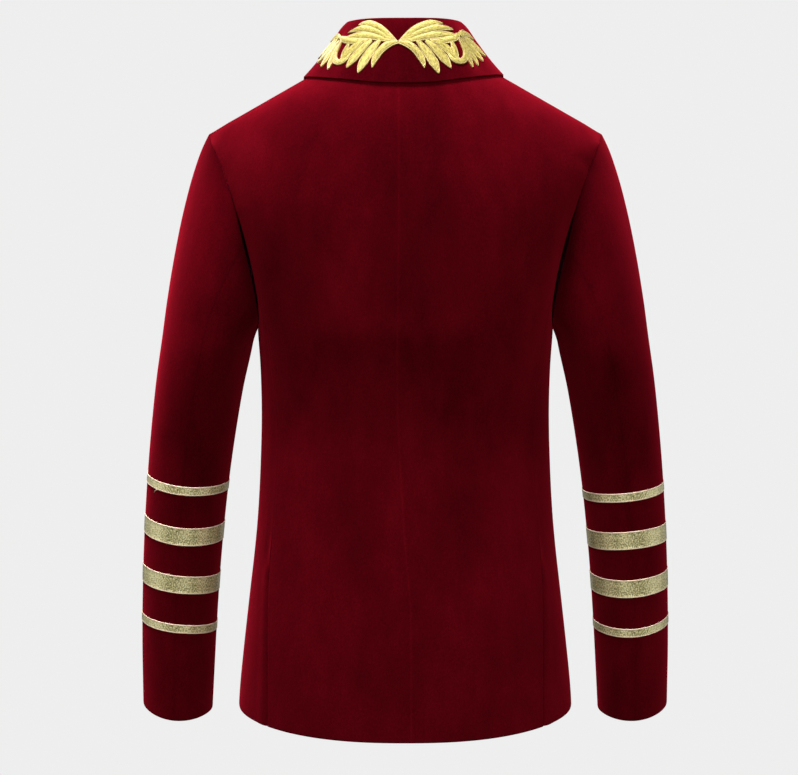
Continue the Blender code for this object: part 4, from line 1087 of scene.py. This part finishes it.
for hand, (rings, band_rows) in sleeves.items():
    count = rings.shape[1]
    wrapped = rings[:, np.arange(-2, count + 2) % count]
    columns = np.arange(2, count + 2, 1 / BRAID_FINE)
    for number, (row, band) in enumerate(zip(band_rows, BANDS), start=1):
        width, (edge, rise) = band[0], BRAID_EDGE.T
        inside = np.linspace(edge[-1], width - edge[-1], BRAID_INSIDE + 2)[1:-1]
        down = np.concatenate([edge, inside, width - edge[::-1]])
        heights = np.concatenate([rise, np.full(BRAID_INSIDE, BRAID_FACE), rise[::-1]])[:, None, None]
        grid = refine(wrapped, row + down / width, columns)
        middle = grid.mean(axis=(0, 1))
        normal = outward(grid, middle[:2])
        sunk = crease_depth(grid)[..., None]
        corded = np.ones((len(down) - 1, 1))
        corded[len(edge) - 1:1 - len(edge)] = 0
        item = wall(f"braid_{hand}_{number}", grid + normal * (heights - sunk),
                    grid + normal * (BRAID_LIFT - sunk), (BRAID, BRAID_CORD), corded, ring=True)
        if (hand, number) == ("left", 1):
            item = join_pieces([item, loose_thread(wrapped, row, middle)], item.name)
        finish(item, "gold_braid", [f"band_{hand}_{number}"], (width, BRAID_LENGTH), None, "laid",
               [f"velvet_sleeve_upper_{hand}", f"velvet_sleeve_under_{hand}"])

# Button: its outline from the top down, in shares of the radius and the height
BUTTON_PROFILE = ((0.0, 1.0), (0.25, 0.97), (0.5, 0.87), (0.72, 0.7), (0.88, 0.49), (0.97, 0.3), (1.0, 0.16),
                  (0.97, 0.04), (0.9, 0.0), (0.0, 0.0))
BUTTON_SIDES = 48
BUTTON_SEAT = 0.0006
HOLE_LENGTH = 0.024
HOLE_WIDTH = 0.0032
HOLE_STEPS = 56
HOLE_SQUARE = 1.35
HOLE_LIFT = 0.0003
HOLE_RADIUS = 0.0009


def over_front(x, z, lift):
    """A point so far over the left front, and the direction square to the cloth there."""
    turn = bisect(lambda t: body(t, z).x > x, *FRONT_LIMITS)
    normal = body_normal(turn, z)
    return body(turn, z) + normal * (LAP_LIFT + lift), normal


def make_button():
    seat, facing = over_front(0, BUTTON_Z, BUTTON_SEAT)
    angles = [2 * pi * k / BUTTON_SIDES for k in range(BUTTON_SIDES)]
    points = [(r * BUTTON_RADIUS * cos(a), r * BUTTON_RADIUS * sin(a), z * BUTTON_HEIGHT)
              for r, z in BUTTON_PROFILE for a in angles]
    faces = quads(number_grid(len(BUTTON_PROFILE), BUTTON_SIDES, True)).tolist()
    item = make_mesh("button_cover", points, faces, (VELVET,), merge=True)
    turned = facing.to_track_quat("Z", "Y").to_matrix().to_4x4()
    turned.translation = seat
    item.data.transform(turned)
    return item


def make_buttonhole():
    """A stitched ring round the slit that the button passes through, on the left front."""
    ring = []
    for k in range(HOLE_STEPS):
        a = 2 * pi * k / HOLE_STEPS
        along = 0.5 + 0.5 * max(-1.0, min(1.0, HOLE_SQUARE * cos(a)))
        x = (HOLE_LENGTH - HOLE_WIDTH) * along + HOLE_WIDTH / 2 * cos(a)
        ring.append(over_front(x, BUTTON_Z + HOLE_WIDTH / 2 * sin(a), HOLE_LIFT))
    return cord_tube("buttonhole", *zip(*ring), HOLE_RADIUS, HOLE_CORD, True)


finish(join_pieces([make_button(), make_buttonhole()], "button_cover"), "burgundy_velvet", ["button_front"])

# Collar embroidery. The visible fall starts at this finer column, and its length is taken along the middle
FALL_START = 5 * COLLAR_FINE
FALL_MIDDLE = 12
COLLAR_STEP = 0.002
COLLAR_REACH = 72
COLLAR_RISE = 42
falls = {}
for side, grid in collars.items():
    lines = [[Vector(p) for p in row] for row in grid[:, FALL_START:]]
    steps = [(b[FALL_MIDDLE] - a[FALL_MIDDLE]).length for a, b in zip(lines, lines[1:])]
    falls[side] = lines, list(accumulate(steps, initial=0.0))


def climb_line(line, up):
    """A point so far up a line, which is given from the top down, or past its top."""
    for a, b in zip(line[::-1], line[-2::-1]):
        length = (b - a).length
        if up <= length or b is line[0]:
            return mix(a, b, up / length)
        up -= length


def fall_point(over, up):
    """A point of the fall, by distance from the centre seam (left positive) and height over the lower edge."""
    lines, lengths = falls[1 if over > 0 else -1]
    k = next(n for n in range(len(lengths) - 1) if abs(over) < lengths[n + 1])
    t = (abs(over) - lengths[k]) / (lengths[k + 1] - lengths[k])
    return mix(climb_line(lines[k], up), climb_line(lines[k + 1], up), t)


# The fall on an even net: across from the seam and up from the lower edge
NET = np.array([[tuple(fall_point(COLLAR_STEP * (i - COLLAR_REACH) + TINY, COLLAR_STEP * j))
                 for i in range(2 * COLLAR_REACH + 1)] for j in range(COLLAR_RISE)])
NET_NORMAL = outward(NET, (0.0, NECK_CENTRE_Y))


def on_collar(over, up, height):
    """Points on the collar at a height over its cloth, from arrays of places in metres."""
    i, j = over / COLLAR_STEP + COLLAR_REACH, up / COLLAR_STEP
    i0 = np.clip(i.astype(int), 0, NET.shape[1] - 2)
    j0 = np.clip(j.astype(int), 0, NET.shape[0] - 2)
    s, t = (i - i0)[..., None], (j - j0)[..., None]

    def read(values):
        return mix(mix(values[j0, i0], values[j0, i0 + 1], s), mix(values[j0 + 1, i0], values[j0 + 1, i0 + 1], s), t)

    return read(NET) + read(NET_NORMAL) * height[..., None]


# Leaves: rows along, closer towards the tip; how wide the base is and where the leaf is at its fullest; the tip
LEAF_ROWS = 60
LEAF_CROWDING = 1.6
LEAF_END = 0.9995
LEAF_FULL = 0.45
LEAF_BASE = 0.45
LEAF_TIP_LENGTH = 0.3
LEAF_TIP_ROUND = 0.58
LEAF_STEPS = 121
LEAF_INSIDE = 9
LEAF_LIFT = 0.0001
LEAF_LAYER = 0.00007
LEAF_CROWN = 0.0006
# Half widths from which the rim and the crown have their full height, and where along the leaf the crown has it
RIM_FULL = 0.0016
CROWN_FULL = 0.0045
CROWN_START = 0.15
CROWN_RISE = 0.4
# The cord round each leaf: places in from the leaf's edge, and heights there, in metres
RIM = np.array(((0.0, 0.0), (0.00045, 0.0004), (0.0007, 0.0006), (0.001, 0.00055), (0.0012, 0.0004)))


def spray_leaves():
    """Start, heading, turn, length, lateness of the turn, width and layer of each leaf."""
    leaves = []
    for count, late, width, *sizes in SPRAYS:
        for k in range(count):
            values = (size + k * step for size, step in zip(sizes[::2], sizes[1::2]))
            leaves.append((*values, late, width, len(leaves)))
    return leaves


def leaf_grid(leaf, side):
    """The top and underside of one leaf."""
    over, up, heading, turn, length, late, width, layer = leaf
    steps = np.linspace(0, 1, LEAF_STEPS)
    way = np.radians(heading + turn * ((steps[1:] + steps[:-1]) / 2) ** late)
    moves = np.stack([np.cos(way), np.sin(way)], axis=1) * (length / (LEAF_STEPS - 1) / 1000)
    path = np.array((over, up)) / 1000 + np.vstack([np.zeros((1, 2)), np.cumsum(moves, axis=0)])
    t = np.minimum(1 - (1 - np.linspace(0, 1, LEAF_ROWS)) ** LEAF_CROWDING, LEAF_END)
    spine = np.stack([np.interp(t, steps, path[:, k]) for k in (0, 1)], axis=1)
    way = np.radians(heading + turn * t**late)
    normal = np.stack([-np.sin(way), np.cos(way)], axis=1)
    t = t[:, None]
    full = mix(LEAF_BASE, 1, np.sin(pi / 2 * np.minimum(1.0, t / LEAF_FULL)))
    half = width / 2000 * full * np.minimum(1.0, (1 - t) / LEAF_TIP_LENGTH) ** LEAF_TIP_ROUND
    squeeze = np.minimum(1.0, half / RIM_FULL)
    inset = RIM[:, 0] * squeeze
    inside = np.linspace(-1, 1, LEAF_INSIDE + 2)[1:-1]
    offsets = np.concatenate([-half + inset, inside * (half - inset[:, -1:]), (half - inset)[:, ::-1]], axis=1)
    crown = LEAF_CROWN * np.minimum(1.0, half / CROWN_FULL) * np.minimum(1.0, (t + CROWN_START) / CROWN_RISE)
    edge = np.repeat(RIM[None, :, 1], LEAF_ROWS, axis=0)
    heights = np.concatenate([edge, RIM[-1, 1] + crown * np.sqrt(1 - inside**2), edge[:, ::-1]], axis=1) * squeeze
    spots = spine[:, None] + normal[:, None] * offsets[..., None]
    over, up = side * spots[..., 0], spots[..., 1]
    return (on_collar(over, up, LEAF_LIFT + LEAF_LAYER * layer + heights),
            on_collar(over, up, np.full_like(over, LEAF_LIFT / 2)))


for hand, side in (("left", 1), ("right", -1)):
    parts = []
    for number, leaf in enumerate(spray_leaves()):
        outer, inner = leaf_grid(leaf, side)
        columns = outer.shape[1] - 1
        inset = [min(c, columns - 1 - c) for c in range(columns)]
        # The outer columns, the leaf's sides, take the dark thread: painted shade at its foot
        bands = [2 if c == 0 else 1 if c < len(RIM) - 1 else 0 for c in inset]
        parts.append(wall(f"leaf_{hand}_{number}", outer, inner, (THREAD, CORD, THREAD_EDGE_SHADE), bands))
    spray = join_pieces(parts, f"embroidery_{hand}")
    finish(spray, "gold_thread", [f"collar_embroidery_{hand}"])


# Stage, lights and camera
PAPER = 0.855
FLOOR_Z = -2.6
FLOOR_LIGHT = 0.25
FLOOR_RADIUS = 12
FLOOR_SIDES = 64
WHITE = (1, 1, 1, 1)


def camera_ray(tree):
    return add_node(tree, "ShaderNodeLightPath", "Is Camera Ray", {})


def make_floor():
    """A pale floor that shows as bright as the backdrop and lights the jacket less from below."""
    material, tree = new_material("paper")
    tree.nodes.remove(tree.nodes["Principled BSDF"])
    strength = compute(tree, "MULTIPLY_ADD", camera_ray(tree), PAPER - FLOOR_LIGHT, FLOOR_LIGHT)
    glow = add_node(tree, "ShaderNodeEmission", 0, {"Color": WHITE, "Strength": strength})
    fill(tree, tree.nodes["Material Output"], {"Surface": glow})
    around = [2 * pi * k / FLOOR_SIDES for k in range(FLOOR_SIDES)]
    points = [(FLOOR_RADIUS * cos(a), FLOOR_RADIUS * sin(a), FLOOR_Z) for a in around]
    make_mesh("floor", points, [tuple(range(FLOOR_SIDES))], (material,))


make_floor()


def area_light(name, place, target, size, power):
    data = bpy.data.lights.new(name, "AREA")
    data.shape = "DISK"
    data.size = size
    data.energy = power
    lamp = add_object(name, data)
    lamp.location = place
    lamp.rotation_euler = (Vector(target) - Vector(place)).to_track_quat("-Z", "Y").to_euler()


area_light("key", (0.32, 0.4, 2.5), (0, 0, -0.1), 0.9, 215)
area_light("fill", (-0.15, 2.5, 1.1), (0, 0, -0.1), 1.4, 42)
area_light("front", (0.8, -2.2, 1.6), (0, 0, -0.3), 1.4, 70)

# Even backdrop to the eye, and a soft studio light that is stronger from above and behind
STUDIO_TOWARDS = Vector((0.0, 0.25, 0.97)).normalized()
STUDIO_LIGHT = (0.42, 0.66)
STUDIO_SPREAD = 0.9


def make_world():
    world = bpy.data.worlds.new("studio")
    world.use_nodes = True
    tree = world.node_tree
    towards = add_node(tree, "ShaderNodeTexCoord", "Generated", {})
    aim = add_node(tree, "ShaderNodeVectorMath", "Value", {0: towards, 1: STUDIO_TOWARDS}, "DOT_PRODUCT")
    spread = tree.nodes.new("ShaderNodeMapRange")
    spread.interpolation_type = "SMOOTHSTEP"
    fill(tree, spread, {"Value": aim, "From Min": -STUDIO_SPREAD, "From Max": STUDIO_SPREAD,
                        "To Min": STUDIO_LIGHT[0], "To Max": STUDIO_LIGHT[1]})
    light = spread.outputs["Result"]
    gap = compute(tree, "SUBTRACT", PAPER, light)
    strength = compute(tree, "MULTIPLY_ADD", gap, camera_ray(tree), light)
    fill(tree, tree.nodes["Background"], {"Color": WHITE, "Strength": strength})
    bpy.context.scene.world = world


make_world()

camera_data = bpy.data.cameras.new("camera")
camera_data.lens = 96.45
camera_data.sensor_width = 36
camera = add_object("camera", camera_data)
camera.location = (0.007, 2.35, -0.022)
camera.rotation_euler = (radians(82), 0, radians(180))
bpy.context.scene.camera = camera
bpy.context.scene.view_settings.view_transform = "Standard"
